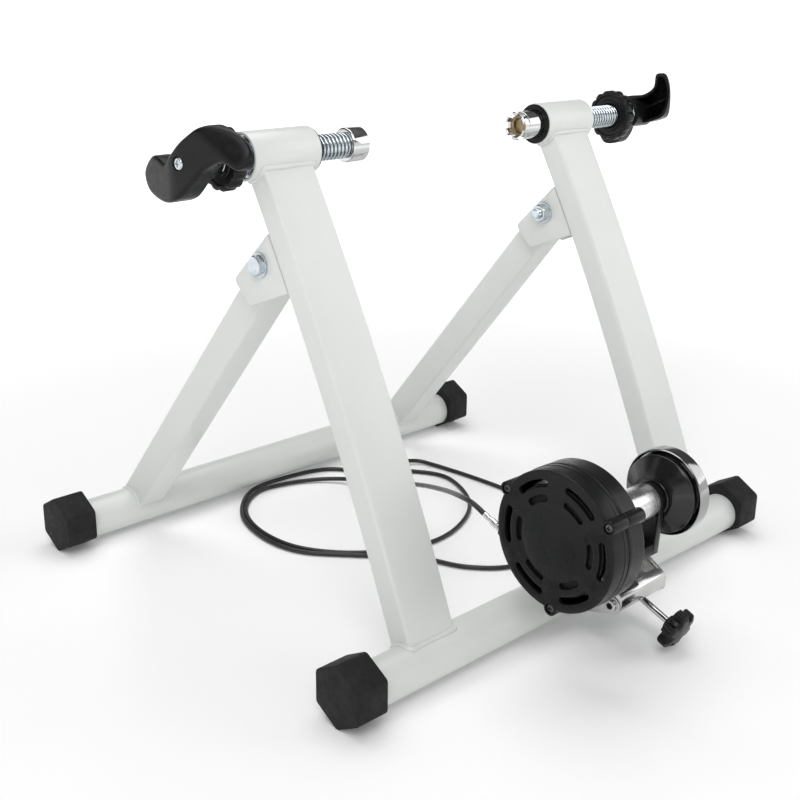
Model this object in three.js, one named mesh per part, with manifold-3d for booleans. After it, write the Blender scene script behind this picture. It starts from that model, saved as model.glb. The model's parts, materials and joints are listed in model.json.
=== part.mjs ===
// Folding indoor bicycle trainer stand with a magnetic roller unit, in millimetres, +Z up.
// X runs along the two base tubes, -Y is the roller side and the part stands on z = 0.
import * as THREE from 'three';
import { mergeVertices } from 'three/addons/utils/BufferGeometryUtils.js';
import Module from 'manifold-3d';

const wasm = await Module();
wasm.setup();

// Clearances and cutting
const gap = 0.3;
const overrun = 4;
const roundSides = 24;
const housingSides = 40;
const smallSides = 14;
const fineSides = 10;
const hexSides = 6;

// Base tubes and their hexagonal rubber caps
const baseSpacing = 413.4;
const rollerBaseLength = 545;
const braceOverhang = 5;
const tubeRadius = 19;
const tubeWall = 1.8;
const capFlats = 49;
const capLength = 30.5;
const capEndWall = 5;
const capCornerFlat = 3;
const capBevel = 1.2;
const capBoreDrop = 4;

// Bowed uprights and the sleeves on top of them
const uprightInset = 96.5;
const uprightWidth = 50.5;
const uprightDepth = 23;
const uprightWall = 1.6;
const uprightCornerRadius = 3;
const uprightBow = 8.7;
const uprightSteps = 7;
const sleeveSetback = 185;
const sleeveHeight = 403;
const sleeveRadius = 19.5;
const sleeveWall = 2.2;
const sleeveLength = 66.7;
const bushLength = 28;
const bushFlange = 1.5;
const bushFlangeInset = 0.9;
const nutLength = 16;
const nutRecess = 2;

// Brace legs and their hinge brackets
const pivotAlongShare = 0.8111;
const pivotStandoff = 23.28;
const legWidth = 28;
const legDepth = 31;
const legWall = 1.6;
const legCornerRadius = 3;
const legTopReach = 10.5;
const legSplay = 5.7;
const legFootOffset = 4.7;
const legFootTrim = 8;
const legInset = 1;
const bracketSheet = 2.5;
const bracketReach = 62.7;
const bracketBoss = 9;
const bracketOutlineShares = [[0.29, 0], [0.016, 1], [-0.404, 0.866], [-0.51, 0]];
const bracketCornerRadius = 5;
const pivotBoltRadius = 5;
const pivotHeadRadius = 9;
const pivotHeadHeight = 6;
const pivotNutHeight = 8;
const pivotBoltTail = 4;

// Threaded clamping spindles, their cups, lock knobs and levers
const threadRadius = 11;
const leftCupStandout = 57.65;
const leftCupRadius = 14.5;
const leftCupLength = 18;
const leftLeverStandout = 26.65;
const leftKnobStandout = 11;
const rightCupStandout = 29.65;
const rightCupRadius = 13.3;
const rightCupLength = 45;
const rightLeverStandout = 82;
const rightKnobStandout = 48.65;
const cupChamfer = 1.5;
const cupMouthDepth = 7;
const cupMouthRadius = 10;
const cupFloor = 2;
const cupNotches = 3;
const cupNotchWidth = 6;
const cupNotchDepth = 5;
const stubRadius = 7.5;
const leverReach = 57;
const leverDepth = 34;
const leverWall = 3;
const leverHubRadius = 14;
const leverSeatDepth = 24;
const leverSeatRadius = 9;
const leverRib = 2;
const leverRibCount = 3;
const rightLeverTurn = 126;
const leverOutlineShares = [
  [-0.32, -0.035], [-0.52, 0.03], [-0.72, 0.01], [-0.92, -0.22], [-0.8, -0.47], [-0.42, -0.57],
  [-0.07, -0.49], [0.19, -0.25], [0.39, -0.05], [0.65, 0.06], [0.88, -0.02], [1.0, 0.13], [0.91, 0.32],
  [0.67, 0.47], [0.38, 0.52], [0.09, 0.35], [-0.14, 0.14],
];
const leverCrownShares = [[-1.1, 0.84], [-0.1, 1], [1.0, 0.4], [1.1, 0.34]];
const leverRimShares = [[1.1, 0.08], [0.4, 0.3], [-0.4, 0.45], [-1.1, 0.5]];
const leverFacetShares = [[-1.1, 2.9], [1.1, 0]];
const leverFacetTurn = 34;
const leverScrewHead = 5;
const leverScrewHeadHeight = 2.5;
const leverScrewRadius = 2.9;
const leverScrewDepth = 12;
const leverScrewRecess = 4;
const lockKnobRadius = 25;
const lockKnobLobes = 11;
const lockKnobLobeDepth = 2;
const lockKnobThickness = 12;

// Swinging mount of the resistance unit
const mountCentre = 12;
const mountWidth = 64;
const mountSheet = 2.5;
const swingSetforward = 31.3;
const swingHeight = 66;
const swingPinRadius = 4;
const swingPinHead = 7;
const swingPinHeadHeight = 4;
const mountReach = 41;
const cheekOutlineShares = [
  [-1, -0.83], [-1, -0.415], [-0.29, 0.012], [-0.13, 0.21], [0.11, 0.2], [0.22, 0.02], [0.17, -0.2],
  [-0.06, -0.66], [-0.1, -1.08],
];
const cheekCornerRadius = 3;
const topPlateEndShare = -0.39;
const lugOutlineShares = [
  [0.64, -0.6], [0.22, 0.16], [-0.02, 0.22], [-0.27, -0.07], [-0.07, -0.66], [0.3, -1.1], [0.77, -1.05],
];
const lugSheet = 3;
const windowInset = 5;
const windowWidth = 27;
const windowShares = [-0.86, -0.5];
const blockRadius = 6.2;
const blockForward = 32;
const blockDrop = 27;
const blockScrewRadius = 2.4;
const blockScrewHead = 5.5;
const blockScrewHeadHeight = 4;
const blockScrewDepth = 9;
const rodRadius = 3;
const rodTilt = 21;
const rodTipReach = 27.15;
const rodLength = 73.35;
const knobRadius = 18.5;
const knobLobes = 6;
const knobLobeDepth = 3;
const knobThickness = 13;
const knobDome = 4;
const knobDomeShare = 0.7;
const knobSocket = 9;

// Roller, flywheel and the bracket that carries them
const unitForward = 65.3;
const unitHeight = 126;
const rollerRadius = 15;
const rollerStart = -57;
const rollerEnd = 13.5;
const shaftRadius = 5;
const shaftStart = -96;
const shaftEnd = 54;
const armThickness = 7;
const armBossRadius = 14;
const armDrop = 47;
const armFootWidth = 22;
const crossbarHeight = 10;
const columnWidth = 20;
const columnOffset = -17;
const columnDepth = 12;
const footThickness = 4;
const bearingRadius = 11;
const hubStart = 21.5;
const hubNoseRadius = 19;
const hubBossRadius = 12;
const hubRadius = 31;
const hubCone = 10;
const hubEnd = 50;
const hubWeb = 5;
const flywheelRadius = 38;
const flywheelStart = 37;
const flywheelWidth = 13.5;

// Two-shell housing with the eddy-current brake inside
const housingRadius = 58;
const housingFace = -107;
const housingSeam = -88;
const housingBack = -67.7;
const shellWall = 2.5;
const faceWall = 3;
const slotCount = 6;
const outerSlotRadius = 47.5;
const outerSlotAngle = 34;
const outerSlotWidth = 5.5;
const innerSlotRadius = 35.5;
const innerSlotAngle = 29;
const innerSlotWidth = 5;
const slotSteps = 3;
const lugRadius = 6;
const lugCount = 3;
const lugStartAngle = 30;
const lugScrewRadius = 1.8;
const lugScrewHead = 4;
const lugScrewHeadHeight = 2;
const carrierBossRadius = 11;
const carrierBossLength = 7;
const carrierThickness = 4;
const magnetPlateRadius = 46;
const magnetCount = 6;
const magnetRadius = 7;
const magnetRing = 37;
const magnetHeight = 5.5;
const rotorRadius = 48;
const rotorThickness = 3;
const rotorAt = -92.5;
const rotorHubRadius = 9;
const rotorHubLength = 8;
const fixedPlateThickness = 9;
const ferruleX = -94;
const ferruleRise = 21;
const ferruleRadius = 3.2;
const ferruleLength = 20.4;
const ferruleShoulder = 11.3;
const ferruleStep = 0.7;
const inletBossRadius = 5.2;
const inletBossReach = 64;

// Brake cable on the floor and its remote lever
const cableDiameter = 4.6;
const cableSides = 8;
const cableSteps = 80;
const remotePlaceShares = [0.1984, 0.2419];
const remoteTurn = 226;
const remoteLength = 58;
const remoteWidth = 24;
const remoteThickness = 15;
const remotePost = 5;
const remotePostHeight = 8;
const remoteLeverLength = 34;
const remoteLeverWidth = 12;
const remoteLeverThickness = 6;
const remoteSocket = 8;
const cableLead = 3;
const cableLift = 0.1;
const cableRouteShares = [
  [-0.2104, -0.3725, 0.2847], [-0.0943, -0.1984, 0.2121], [0.0048, -0.029, 0.1396],
  [0.0726, 0.1621, 0.067], [0.1064, 0.2612, 0.0295], [0.1089, 0.3338, 0.0102], [0.0581, 0.4015, 0.0031],
  [-0.029, 0.4451, 0.0007], [-0.1113, 0.4523, 0], [-0.2032, 0.387, 0], [-0.254, 0.2661, 0],
  [-0.2443, 0.1209, 0], [-0.1451, -0.0048, 0], [0.0145, -0.0701, 0], [0.1451, -0.0435, 0],
  [0.2588, 0.0387, 0], [0.3266, 0.1935, 0], [0.2879, 0.2806, 0], [0.1863, 0.3725, 0], [0.1209, 0.4499, 0],
  [0, 0.479, 0], [-0.1209, 0.4693, 0], [-0.2322, 0.3628, 0], [-0.2733, 0.2298, 0], [-0.2588, 0.1113, 0],
  [-0.1742, 0.0048, 0], [-0.0726, -0.1016, 0], [-0.0194, -0.2177, 0], [0.0581, -0.2854, 0],
  [0.1935, -0.2951, 0], [0.3387, -0.1887, 0], [0.3822, -0.0242, 0], [0.3798, 0.1451, 0],
  [0.3713, 0.2225, 0], [0.3616, 0.2794, 0.0007], [0.3462, 0.3171, 0.0035], [0.3084, 0.3326, 0.008],
];

// Places worked out from the sizes above
const rollerY = -baseSpacing / 2;
const braceY = baseSpacing / 2;
const braceBaseLength = rollerBaseLength + 2 * braceOverhang;
const uprightSpacing = rollerBaseLength - 2 * uprightInset;
const legSpacing = uprightSpacing - 2 * legInset;
const capVertex = capFlats / Math.sqrt(3);
const capCornerLoss = capCornerFlat / 2 * Math.tan(Math.PI / hexSides);
const capCentreZ = capVertex - capCornerLoss;
const tubeZ = capCentreZ - capBoreDrop;
const sleeveY = rollerY + sleeveSetback;
const sleeveBore = sleeveRadius - sleeveWall;
const sleeveInnerEnd = (uprightSpacing - sleeveLength) / 2;
const sleeveOuterEnd = (uprightSpacing + sleeveLength) / 2;
const leftCupMouth = sleeveInnerEnd - leftCupStandout;
const rightCupMouth = sleeveInnerEnd - rightCupStandout;
const leftLeverAt = sleeveOuterEnd + leftLeverStandout;
const rightLeverAt = sleeveOuterEnd + rightLeverStandout;
const leftKnobAt = sleeveOuterEnd + leftKnobStandout;
const rightKnobAt = sleeveOuterEnd + rightKnobStandout;
const hinge = hingeFrame();
const pivotY = hinge.pivot.y;
const pivotHeight = hinge.pivot.z;
const [remoteX, remoteY] = remotePlaceShares.map((share) => share * baseSpacing);
const swingY = rollerY - swingSetforward;
const unitY = rollerY - unitForward;
const rodAxis = new THREE.Vector3(0, -Math.cos(radians(rodTilt)), -Math.sin(radians(rodTilt)));

// Colours and finishes
const paint = ['#e9ebe8', 0.42, 0.0];
const rubber = ['#1c1c1d', 0.85, 0.0];
const plastic = ['#17181a', 0.5, 0.0];
const zinc = ['#b9bdc0', 0.38, 0.9];
const chrome = ['#d4d6d8', 0.12, 1.0];
const steel = ['#c3c6c8', 0.25, 1.0];
const alloy = ['#b4b7ba', 0.4, 0.9];
const magnetGrey = ['#4a4c4f', 0.6, 0.3];

function radians(degrees) {
  return degrees * Math.PI / 180;
}

function solidOf(geometry) {
  const bare = geometry.clone();
  for (const key of ['normal', 'uv']) bare.deleteAttribute(key);
  const welded = mergeVertices(bare);
  const vertProperties = new Float32Array(welded.attributes.position.array);
  const triVerts = new Uint32Array(welded.index.array);
  const result = new wasm.Manifold(new wasm.Mesh({ numProp: 3, vertProperties, triVerts }));
  return result;
}

function geometryOf(solid) {
  const mesh = solid.getMesh();
  const geometry = new THREE.BufferGeometry();
  geometry.setAttribute('position', new THREE.BufferAttribute(new Float32Array(mesh.vertProperties), 3));
  geometry.setIndex(new THREE.BufferAttribute(new Uint32Array(mesh.triVerts), 1));
  return geometry;
}

function cut(body, ...tools) {
  return geometryOf(tools.reduce((rest, tool) => rest.subtract(solidOf(tool)), solidOf(body)));
}

function join(body, ...others) {
  return geometryOf(others.reduce((rest, other) => rest.add(solidOf(other)), solidOf(body)));
}

function common(body, other) {
  return geometryOf(solidOf(body).intersect(solidOf(other)));
}

// Turned body about the X axis from [radius, x] pairs
function turned(profile, sides = roundSides) {
  const points = profile.map(([radius, x]) => new THREE.Vector2(radius, x));
  return new THREE.LatheGeometry(points, sides).rotateZ(-Math.PI / 2);
}

// Round bar along X from one x to another
function bar(radius, from, to, sides = roundSides) {
  return turned([[0, from], [radius, from], [radius, to], [0, to]], sides);
}

// Round tube along X, closed on itself
function pipe(outer, inner, from, to, sides = roundSides) {
  return turned([[inner, from], [outer, from], [outer, to], [inner, to], [inner, from]], sides);
}

// Outline in Y and Z pushed along X
function slab(shape, from, to, curveSegments = 6) {
  const geometry = new THREE.ExtrudeGeometry(shape, { depth: to - from, bevelEnabled: false, curveSegments });
  const yzx = new THREE.Matrix4().makeBasis(
    new THREE.Vector3(0, 1, 0), new THREE.Vector3(0, 0, 1), new THREE.Vector3(1, 0, 0));
  return geometry.applyMatrix4(yzx).translate(from, 0, 0);
}

function box(x0, x1, y0, y1, z0, z1) {
  const geometry = new THREE.BoxGeometry(x1 - x0, y1 - y0, z1 - z0);
  return geometry.translate((x0 + x1) / 2, (y0 + y1) / 2, (z0 + z1) / 2);
}

// Polygon with rounded corners
function roundedShape(points, radius) {
  const shape = new THREE.Shape();
  const corners = points.map(([x, y]) => new THREE.Vector2(x, y));
  corners.forEach((corner, index) => {
    const before = corners[(index + corners.length - 1) % corners.length];
    const after = corners[(index + 1) % corners.length];
    const lead = before.clone().sub(corner);
    const trail = after.clone().sub(corner);
    const angle = Math.acos(lead.dot(trail) / lead.length() / trail.length());
    const trim = Math.min(radius / Math.tan(angle / 2), lead.length() / 2, trail.length() / 2);
    const start = corner.clone().add(lead.setLength(trim));
    const end = corner.clone().add(trail.setLength(trim));
    if (index === 0) shape.moveTo(start.x, start.y);
    else shape.lineTo(start.x, start.y);
    shape.quadraticCurveTo(corner.x, corner.y, end.x, end.y);
  });
  shape.closePath();
  return shape;
}

function rectangle(width, depth, radius) {
  const x = width / 2;
  const y = depth / 2;
  return roundedShape([[-x, -y], [x, -y], [x, y], [-x, y]], radius);
}

function scaled(shares, size) {
  return shares.map(([a, b]) => [a * size, b * size]);
}

// Round outline with lobes, such as a hand knob
function lobedShape(radius, lobes, depth, stepsPerLobe) {
  const shape = new THREE.Shape();
  const steps = lobes * stepsPerLobe;
  for (let step = 0; step < steps; step += 1) {
    const turn = 2 * Math.PI * step / steps;
    const reach = radius - depth * (1 - Math.cos(lobes * turn)) / 2;
    const x = reach * Math.cos(turn);
    const y = reach * Math.sin(turn);
    if (step === 0) shape.moveTo(x, y);
    else shape.lineTo(x, y);
  }
  shape.closePath();
  return shape;
}

const stand = new THREE.Group();
const cordMeshes = new Set();

function put(name, geometry, finish, x = 0, y = 0, z = 0) {
  const [color, roughness, metalness] = finish;
  const material = new THREE.MeshStandardMaterial({ color, roughness, metalness });
  const flat = geometry.index ? geometry.toNonIndexed() : geometry;
  flat.computeVertexNormals();
  const mesh = new THREE.Mesh(flat, material);
  mesh.name = name;
  mesh.position.set(x, y, z);
  stand.add(mesh);
  return mesh;
}

const sides = [{ name: 'left', sign: -1 }, { name: 'right', sign: 1 }];

// Base tube of one length with a hexagonal rubber cap on each end
function makeBase(name, length, y) {
  const reach = length / 2 - capEndWall - gap;
  put(`${name}_base_tube`, pipe(tubeRadius, tubeRadius - tubeWall, -reach, reach), paint, 0, y, tubeZ);
  for (const side of sides) {
    const cap = put(`${name}_cap_${side.name}`, capGeometry(), rubber, side.sign * length / 2, y, capCentreZ);
    cap.rotation.z = side.sign > 0 ? 0 : Math.PI;
  }
}

// Cap with its closed outer face at x = 0 and its bore below the hexagon's centre
function capGeometry() {
  const corners = [];
  for (let index = 0; index < hexSides; index += 1) {
    const turn = Math.PI / 2 + index * 2 * Math.PI / hexSides;
    corners.push([capVertex * Math.cos(turn), capVertex * Math.sin(turn)]);
  }
  const geometry = new THREE.ExtrudeGeometry(roundedShape(corners, capCornerFlat), {
    depth: capLength - 2 * capBevel, bevelThickness: capBevel, bevelSize: capBevel, bevelOffset: -capBevel,
    bevelSegments: 1, curveSegments: 1,
  });
  const hexagon = geometry.translate(0, 0, capBevel).rotateX(Math.PI / 2).rotateZ(Math.PI / 2);
  hexagon.translate(-capLength, 0, 0);
  const bore = bar(tubeRadius + gap, -capLength - overrun, -capEndWall).translate(0, 0, -capBoreDrop);
  return cut(hexagon, bore);
}

// Bowed path of an upright, from the roller base tube's axis to the sleeve's axis
function uprightPath() {
  const foot = new THREE.Vector3(0, rollerY, tubeZ);
  const head = new THREE.Vector3(0, sleeveY, sleeveHeight);
  const chord = head.clone().sub(foot).normalize();
  const outward = new THREE.Vector3(0, -chord.z, chord.y);
  const middle = foot.clone().add(head).multiplyScalar(0.5).addScaledVector(outward, 2 * uprightBow);
  return new THREE.QuadraticBezierCurve3(foot, middle, head);
}

function sweptBar(width, depth, radius, hole) {
  const shape = rectangle(width, depth, radius);
  if (hole) shape.holes.push(rectangle(width - 2 * hole, depth - 2 * hole, radius - hole / 2));
  const options = { steps: uprightSteps, extrudePath: uprightPath(), curveSegments: 2 };
  return new THREE.ExtrudeGeometry(shape, options);
}

function makeUpright(side) {
  const tube = sweptBar(uprightWidth, uprightDepth, uprightCornerRadius, uprightWall);
  const half = uprightWidth / 2 + overrun;
  const foot = bar(tubeRadius + gap, -half, half).translate(0, rollerY, tubeZ);
  const head = bar(sleeveRadius + gap, -half, half).translate(0, sleeveY, sleeveHeight);
  put(`${side.name}_upright`, cut(tube, foot, head), paint, side.sign * uprightSpacing / 2);
}

// Sleeve across the head of an upright, with a plastic bush inside and a threaded nut outside
function makeSleeve(side) {
  const half = sleeveLength / 2;
  const x = side.sign * uprightSpacing / 2;
  const sleeve = pipe(sleeveRadius, sleeveBore, -half, half);
  put(`${side.name}_sleeve`, sleeve, paint, x, sleeveY, sleeveHeight);
  const bore = (side.sign < 0 ? threadRadius : rightCupRadius) + gap;
  const bushOuter = sleeveBore - gap;
  const flange = sleeveRadius - bushFlangeInset;
  const bushStart = -half - gap;
  const bush = put(`${side.name}_sleeve_bush`, turned([
    [bore, bushStart - bushFlange], [flange, bushStart - bushFlange], [flange, bushStart],
    [bushOuter, bushStart], [bushOuter, bushStart + bushLength], [bore, bushStart + bushLength],
    [bore, bushStart - bushFlange],
  ]), plastic, x, sleeveY, sleeveHeight);
  const nutEnd = half - nutRecess;
  const nut = put(`${side.name}_sleeve_nut`, pipe(bushOuter, threadRadius + gap, nutEnd - nutLength, nutEnd),
    zinc, x, sleeveY, sleeveHeight);
  for (const mesh of [bush, nut]) mesh.rotation.z = side.sign > 0 ? 0 : Math.PI;
}

// Upright's rear face beside the pivot, the pivot behind it, the way up along the face and the way out
function hingeFrame() {
  const path = uprightPath();
  const up = path.getTangent(pivotAlongShare);
  const out = new THREE.Vector3(0, up.z, -up.y);
  const face = path.getPoint(pivotAlongShare).addScaledVector(out, uprightDepth / 2);
  return { face, pivot: face.clone().addScaledVector(out, pivotStandoff), up, out };
}

function makeHingeBracket(side) {
  const { face, up, out } = hinge;
  const place = ([along, away]) => {
    const point = face.clone().addScaledVector(up, along).addScaledVector(out, away);
    return [point.y, point.z];
  };
  const [top, upper, lower, bottom] = scaled(bracketOutlineShares, bracketReach);
  const behind = -uprightDepth / 2;
  const outline = [[top[0], behind], top, upper, lower, bottom, [bottom[0], behind]].map(place);
  const half = uprightWidth / 2;
  const plate = slab(roundedShape(outline, bracketCornerRadius), -half, half, 3);
  const clear = half - bracketSheet;
  const skin = gap + bracketSheet;
  const pocket = [[top[0] + overrun, skin], [top[0] + overrun, bracketReach + overrun],
    [bottom[0] - overrun, bracketReach + overrun], [bottom[0] - overrun, skin]].map(place);
  const hollow = slab(roundedShape(pocket, 0), -clear, clear);
  const grown = sweptBar(uprightWidth + 2 * overrun, uprightDepth + 2 * gap, gap, 0);
  const channel = cut(plate, hollow, grown);
  const bossStart = legWidth / 2 + (uprightSpacing - legSpacing) / 2 + 2 * gap;
  const bosses = [-1, 1].map((sign) => {
    const ends = [sign * bossStart, sign * (clear + gap)].sort((a, b) => a - b);
    return bar(bracketBoss, ends[0], ends[1], smallSides).translate(0, pivotY, pivotHeight);
  });
  const hole = bar(pivotBoltRadius + gap, -half - overrun, half + overrun, smallSides);
  const drilled = cut(join(channel, ...bosses), hole.translate(0, pivotY, pivotHeight));
  put(`${side.name}_hinge_bracket`, drilled, paint, side.sign * uprightSpacing / 2);
}

function makePivotBolt(side) {
  const half = uprightWidth / 2;
  const head = bar(pivotHeadRadius, half + gap, half + gap + pivotHeadHeight, hexSides);
  const inner = -half - gap - pivotNutHeight;
  const shank = bar(pivotBoltRadius, inner - pivotBoltTail, half + gap + pivotHeadHeight / 2, smallSides);
  const x = side.sign * uprightSpacing / 2;
  const turn = side.sign > 0 ? 0 : Math.PI;
  const bolt = put(`${side.name}_pivot_bolt`, join(head, shank), zinc, x, pivotY, pivotHeight);
  const nut = put(`${side.name}_pivot_nut`, cut(
    bar(pivotHeadRadius, inner, -half - gap, hexSides),
    bar(pivotBoltRadius + gap, inner - overrun, -half + overrun, smallSides)), zinc, x, pivotY, pivotHeight);
  bolt.rotation.z = turn;
  nut.rotation.z = turn;
}

// Square-section leg from its pivot down to the brace base tube
function makeLeg(side) {
  const foot = new THREE.Vector3(side.sign * legSplay, braceY + legFootOffset - pivotY, tubeZ - pivotHeight);
  const down = foot.clone().normalize();
  const across = new THREE.Vector3(1, 0, 0).addScaledVector(down, -down.x).normalize();
  const back = new THREE.Vector3().crossVectors(down, across);
  const shape = rectangle(legWidth, legDepth, legCornerRadius);
  shape.holes.push(rectangle(legWidth - 2 * legWall, legDepth - 2 * legWall, legCornerRadius - legWall / 2));
  const length = foot.length() + legTopReach - legFootTrim;
  const tube = new THREE.ExtrudeGeometry(shape, { depth: length, bevelEnabled: false, curveSegments: 2 });
  tube.translate(0, 0, -legTopReach);
  tube.applyMatrix4(new THREE.Matrix4().makeBasis(across, back, down));
  const reach = legWidth + legSplay;
  const cope = bar(tubeRadius + gap, -reach, reach).translate(0, braceY - pivotY, tubeZ - pivotHeight);
  const hole = bar(pivotBoltRadius + gap, -reach, reach, smallSides);
  put(`${side.name}_leg`, cut(tube, cope, hole), paint, side.sign * legSpacing / 2, pivotY, pivotHeight);
}

// Cup with its mouth towards the wheel at x = 0, a blind socket behind and notches in a castellated one
function cupGeometry(radius, length, notched) {
  const socket = cupMouthDepth + cupFloor;
  const lip = radius - cupChamfer;
  const body = turned([
    [0, cupMouthDepth], [cupMouthRadius - cupChamfer, cupMouthDepth], [cupMouthRadius, 0], [lip, 0],
    [radius, cupChamfer], [radius, length - cupChamfer], [lip, length], [stubRadius + gap, length],
    [stubRadius + gap, socket], [0, socket],
  ]);
  if (!notched) return body;
  const notches = [];
  for (let index = 0; index < cupNotches; index += 1) {
    const notch = box(-overrun, cupNotchDepth, -radius - overrun, radius + overrun,
      -cupNotchWidth / 2, cupNotchWidth / 2);
    notches.push(notch.rotateX(index * Math.PI / cupNotches));
  }
  return cut(body, ...notches);
}

// Threaded spindle along X with a stub for the cup and a seat for the lever
function spindleGeometry(cupMouth, cupLength, leverAt) {
  const stubStart = cupMouth + cupMouthDepth + cupFloor + gap;
  const threadStart = cupMouth + cupLength + gap;
  const seatEnd = leverAt + leverSeatDepth - gap;
  const hole = leverScrewRadius + gap;
  return turned([
    [0, stubStart], [stubRadius, stubStart], [stubRadius, threadStart], [threadRadius, threadStart],
    [threadRadius, leverAt - gap], [leverSeatRadius, leverAt - gap], [leverSeatRadius, seatEnd],
    [hole, seatEnd], [hole, seatEnd - leverScrewDepth], [0, seatEnd - leverScrewDepth],
  ], roundSides);
}

// Points of the lever's outline, smooth but for the notch where it starts
function leverOutline() {
  const [notch, ...rest] = scaled(leverOutlineShares, leverReach);
  const shape = new THREE.Shape();
  shape.moveTo(notch[0], notch[1]);
  shape.splineThru([...rest, notch].map(([x, y]) => new THREE.Vector2(x, y)));
  const points = shape.getSpacedPoints(leverOutlineShares.length * 2);
  points.pop();
  return points;
}

// The same outline moved inwards by a wall
function inset(points, wall) {
  return points.map((point, index) => {
    const before = points[(index + points.length - 1) % points.length];
    const after = points[(index + 1) % points.length];
    const along = after.clone().sub(before).normalize();
    return new THREE.Vector2(point.x - along.y * wall, point.y + along.x * wall);
  });
}

// Space under a profile of [share along, share of the height], turned about the lever's axis
function underProfile(top, bottom, lift, turn) {
  const high = top.map(([share, rise]) => new THREE.Vector2(share * leverReach, rise * leverDepth - lift));
  const low = bottom.map(([share, rise]) => new THREE.Vector2(share * leverReach, rise * leverDepth - lift));
  const geometry = new THREE.ExtrudeGeometry(new THREE.Shape([...high, ...low]), {
    depth: 4 * leverReach, bevelEnabled: false,
  });
  geometry.translate(0, 0, -2 * leverReach);
  geometry.applyMatrix4(new THREE.Matrix4().makeBasis(
    new THREE.Vector3(0, 1, 0), new THREE.Vector3(1, 0, 0), new THREE.Vector3(0, 0, -1)));
  return geometry.rotateX(radians(turn));
}

// Curved hand lever: a crowned shell with one sloping facet, open and ribbed on the side facing the wheel
function leverGeometry() {
  const outline = leverOutline();
  const counterClockwise = THREE.ShapeUtils.area(outline) > 0;
  const inner = inset(outline, counterClockwise ? leverWall : -leverWall);
  const [first, last] = [leverFacetShares[0][0], leverFacetShares[1][0]];
  const facetFloor = [[last, -1], [first, -1]];
  const under = (points, lift) => {
    const raw = slab(new THREE.Shape(points), -overrun, leverDepth);
    const crown = underProfile(leverCrownShares, leverRimShares, lift, 0);
    return common(common(raw, crown), underProfile(leverFacetShares, facetFloor, lift, leverFacetTurn));
  };
  const hub = bar(leverHubRadius, 0, leverSeatDepth + leverWall);
  const solid = join(under(outline, 0), hub);
  const keptHub = bar(leverHubRadius, -2 * overrun, leverDepth);
  const ribs = [];
  for (let index = 0; index < leverRibCount; index += 1) {
    const rib = box(-2 * overrun, leverDepth, -leverReach, leverReach, -leverRib / 2, leverRib / 2);
    ribs.push(rib.rotateX(radians(30) + index * Math.PI / leverRibCount));
  }
  const hollow = cut(under(inner, leverWall), keptHub, ...ribs);
  const seat = bar(leverSeatRadius + gap, -overrun, leverSeatDepth);
  const screwHole = bar(leverScrewRadius + gap, 0, leverDepth + overrun, smallSides);
  const recess = bar(leverScrewHead + gap, leverDepth - leverScrewRecess, leverDepth + overrun, smallSides);
  return cut(solid, hollow, seat, screwHole, recess);
}

function leverScrewGeometry() {
  const under = leverDepth - leverScrewRecess + gap;
  const tip = leverSeatDepth - leverScrewDepth + gap;
  return turned([
    [0, tip], [leverScrewRadius, tip], [leverScrewRadius, under], [leverScrewHead, under],
    [leverScrewHead - leverScrewHeadHeight / 4, under + leverScrewHeadHeight],
    [0, under + leverScrewHeadHeight],
  ], smallSides);
}

function makeClamp(side) {
  const left = side.sign < 0;
  const mouth = left ? leftCupMouth : rightCupMouth;
  const cupLength = left ? leftCupLength : rightCupLength;
  const leverAt = left ? leftLeverAt : rightLeverAt;
  const knobAt = left ? leftKnobAt : rightKnobAt;
  const turn = left ? Math.PI : 0;
  const cup = put(`${side.name}_cup`, cupGeometry(left ? leftCupRadius : rightCupRadius, cupLength, !left),
    chrome, side.sign * mouth, sleeveY, sleeveHeight);
  const spindle = put(`${side.name}_spindle`, spindleGeometry(mouth, cupLength, leverAt), zinc,
    0, sleeveY, sleeveHeight);
  const knobShape = lobedShape(lockKnobRadius, lockKnobLobes, lockKnobLobeDepth, 6);
  const knobBore = bar(threadRadius + gap, -overrun, lockKnobThickness + overrun);
  const knob = put(`${side.name}_lock_knob`, cut(slab(knobShape, 0, lockKnobThickness), knobBore), plastic,
    side.sign * knobAt, sleeveY, sleeveHeight);
  const lever = put(`${side.name}_lever`, leverGeometry(), plastic,
    side.sign * leverAt, sleeveY, sleeveHeight);
  const screw = put(`${side.name}_lever_screw`, leverScrewGeometry(), zinc,
    side.sign * leverAt, sleeveY, sleeveHeight);
  for (const mesh of [cup, spindle, knob, lever, screw]) {
    mesh.rotation.order = 'ZXY';
    mesh.rotation.z = turn;
  }
  for (const mesh of [spindle, lever, screw]) mesh.rotation.x = left ? 0 : radians(rightLeverTurn);
}

// Fixed lug on the roller base tube: two ears for the swing pin and a stop for the adjusting rod
function makeLug() {
  const half = mountWidth / 2 - mountSheet - gap;
  const outline = scaled(lugOutlineShares, mountReach);
  const body = slab(roundedShape(outline, cheekCornerRadius), -half, half, 3);
  const tube = bar(tubeRadius + gap, -half - overrun, half + overrun)
    .translate(0, swingSetforward, tubeZ - swingHeight);
  const pocketShape = roundedShape(outline.map(([y, z]) => [y + lugSheet, z + lugSheet]), 0);
  const pocket = slab(pocketShape, -half + lugSheet, half - lugSheet);
  const pocketUp = pocket.clone().translate(0, 0, 2 * lugSheet);
  const hole = bar(swingPinRadius + gap, -half - overrun, half + overrun, smallSides);
  put('mount_lug', cut(body, pocket, pocketUp, tube, hole), paint, mountCentre, swingY, swingHeight);
}

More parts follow.
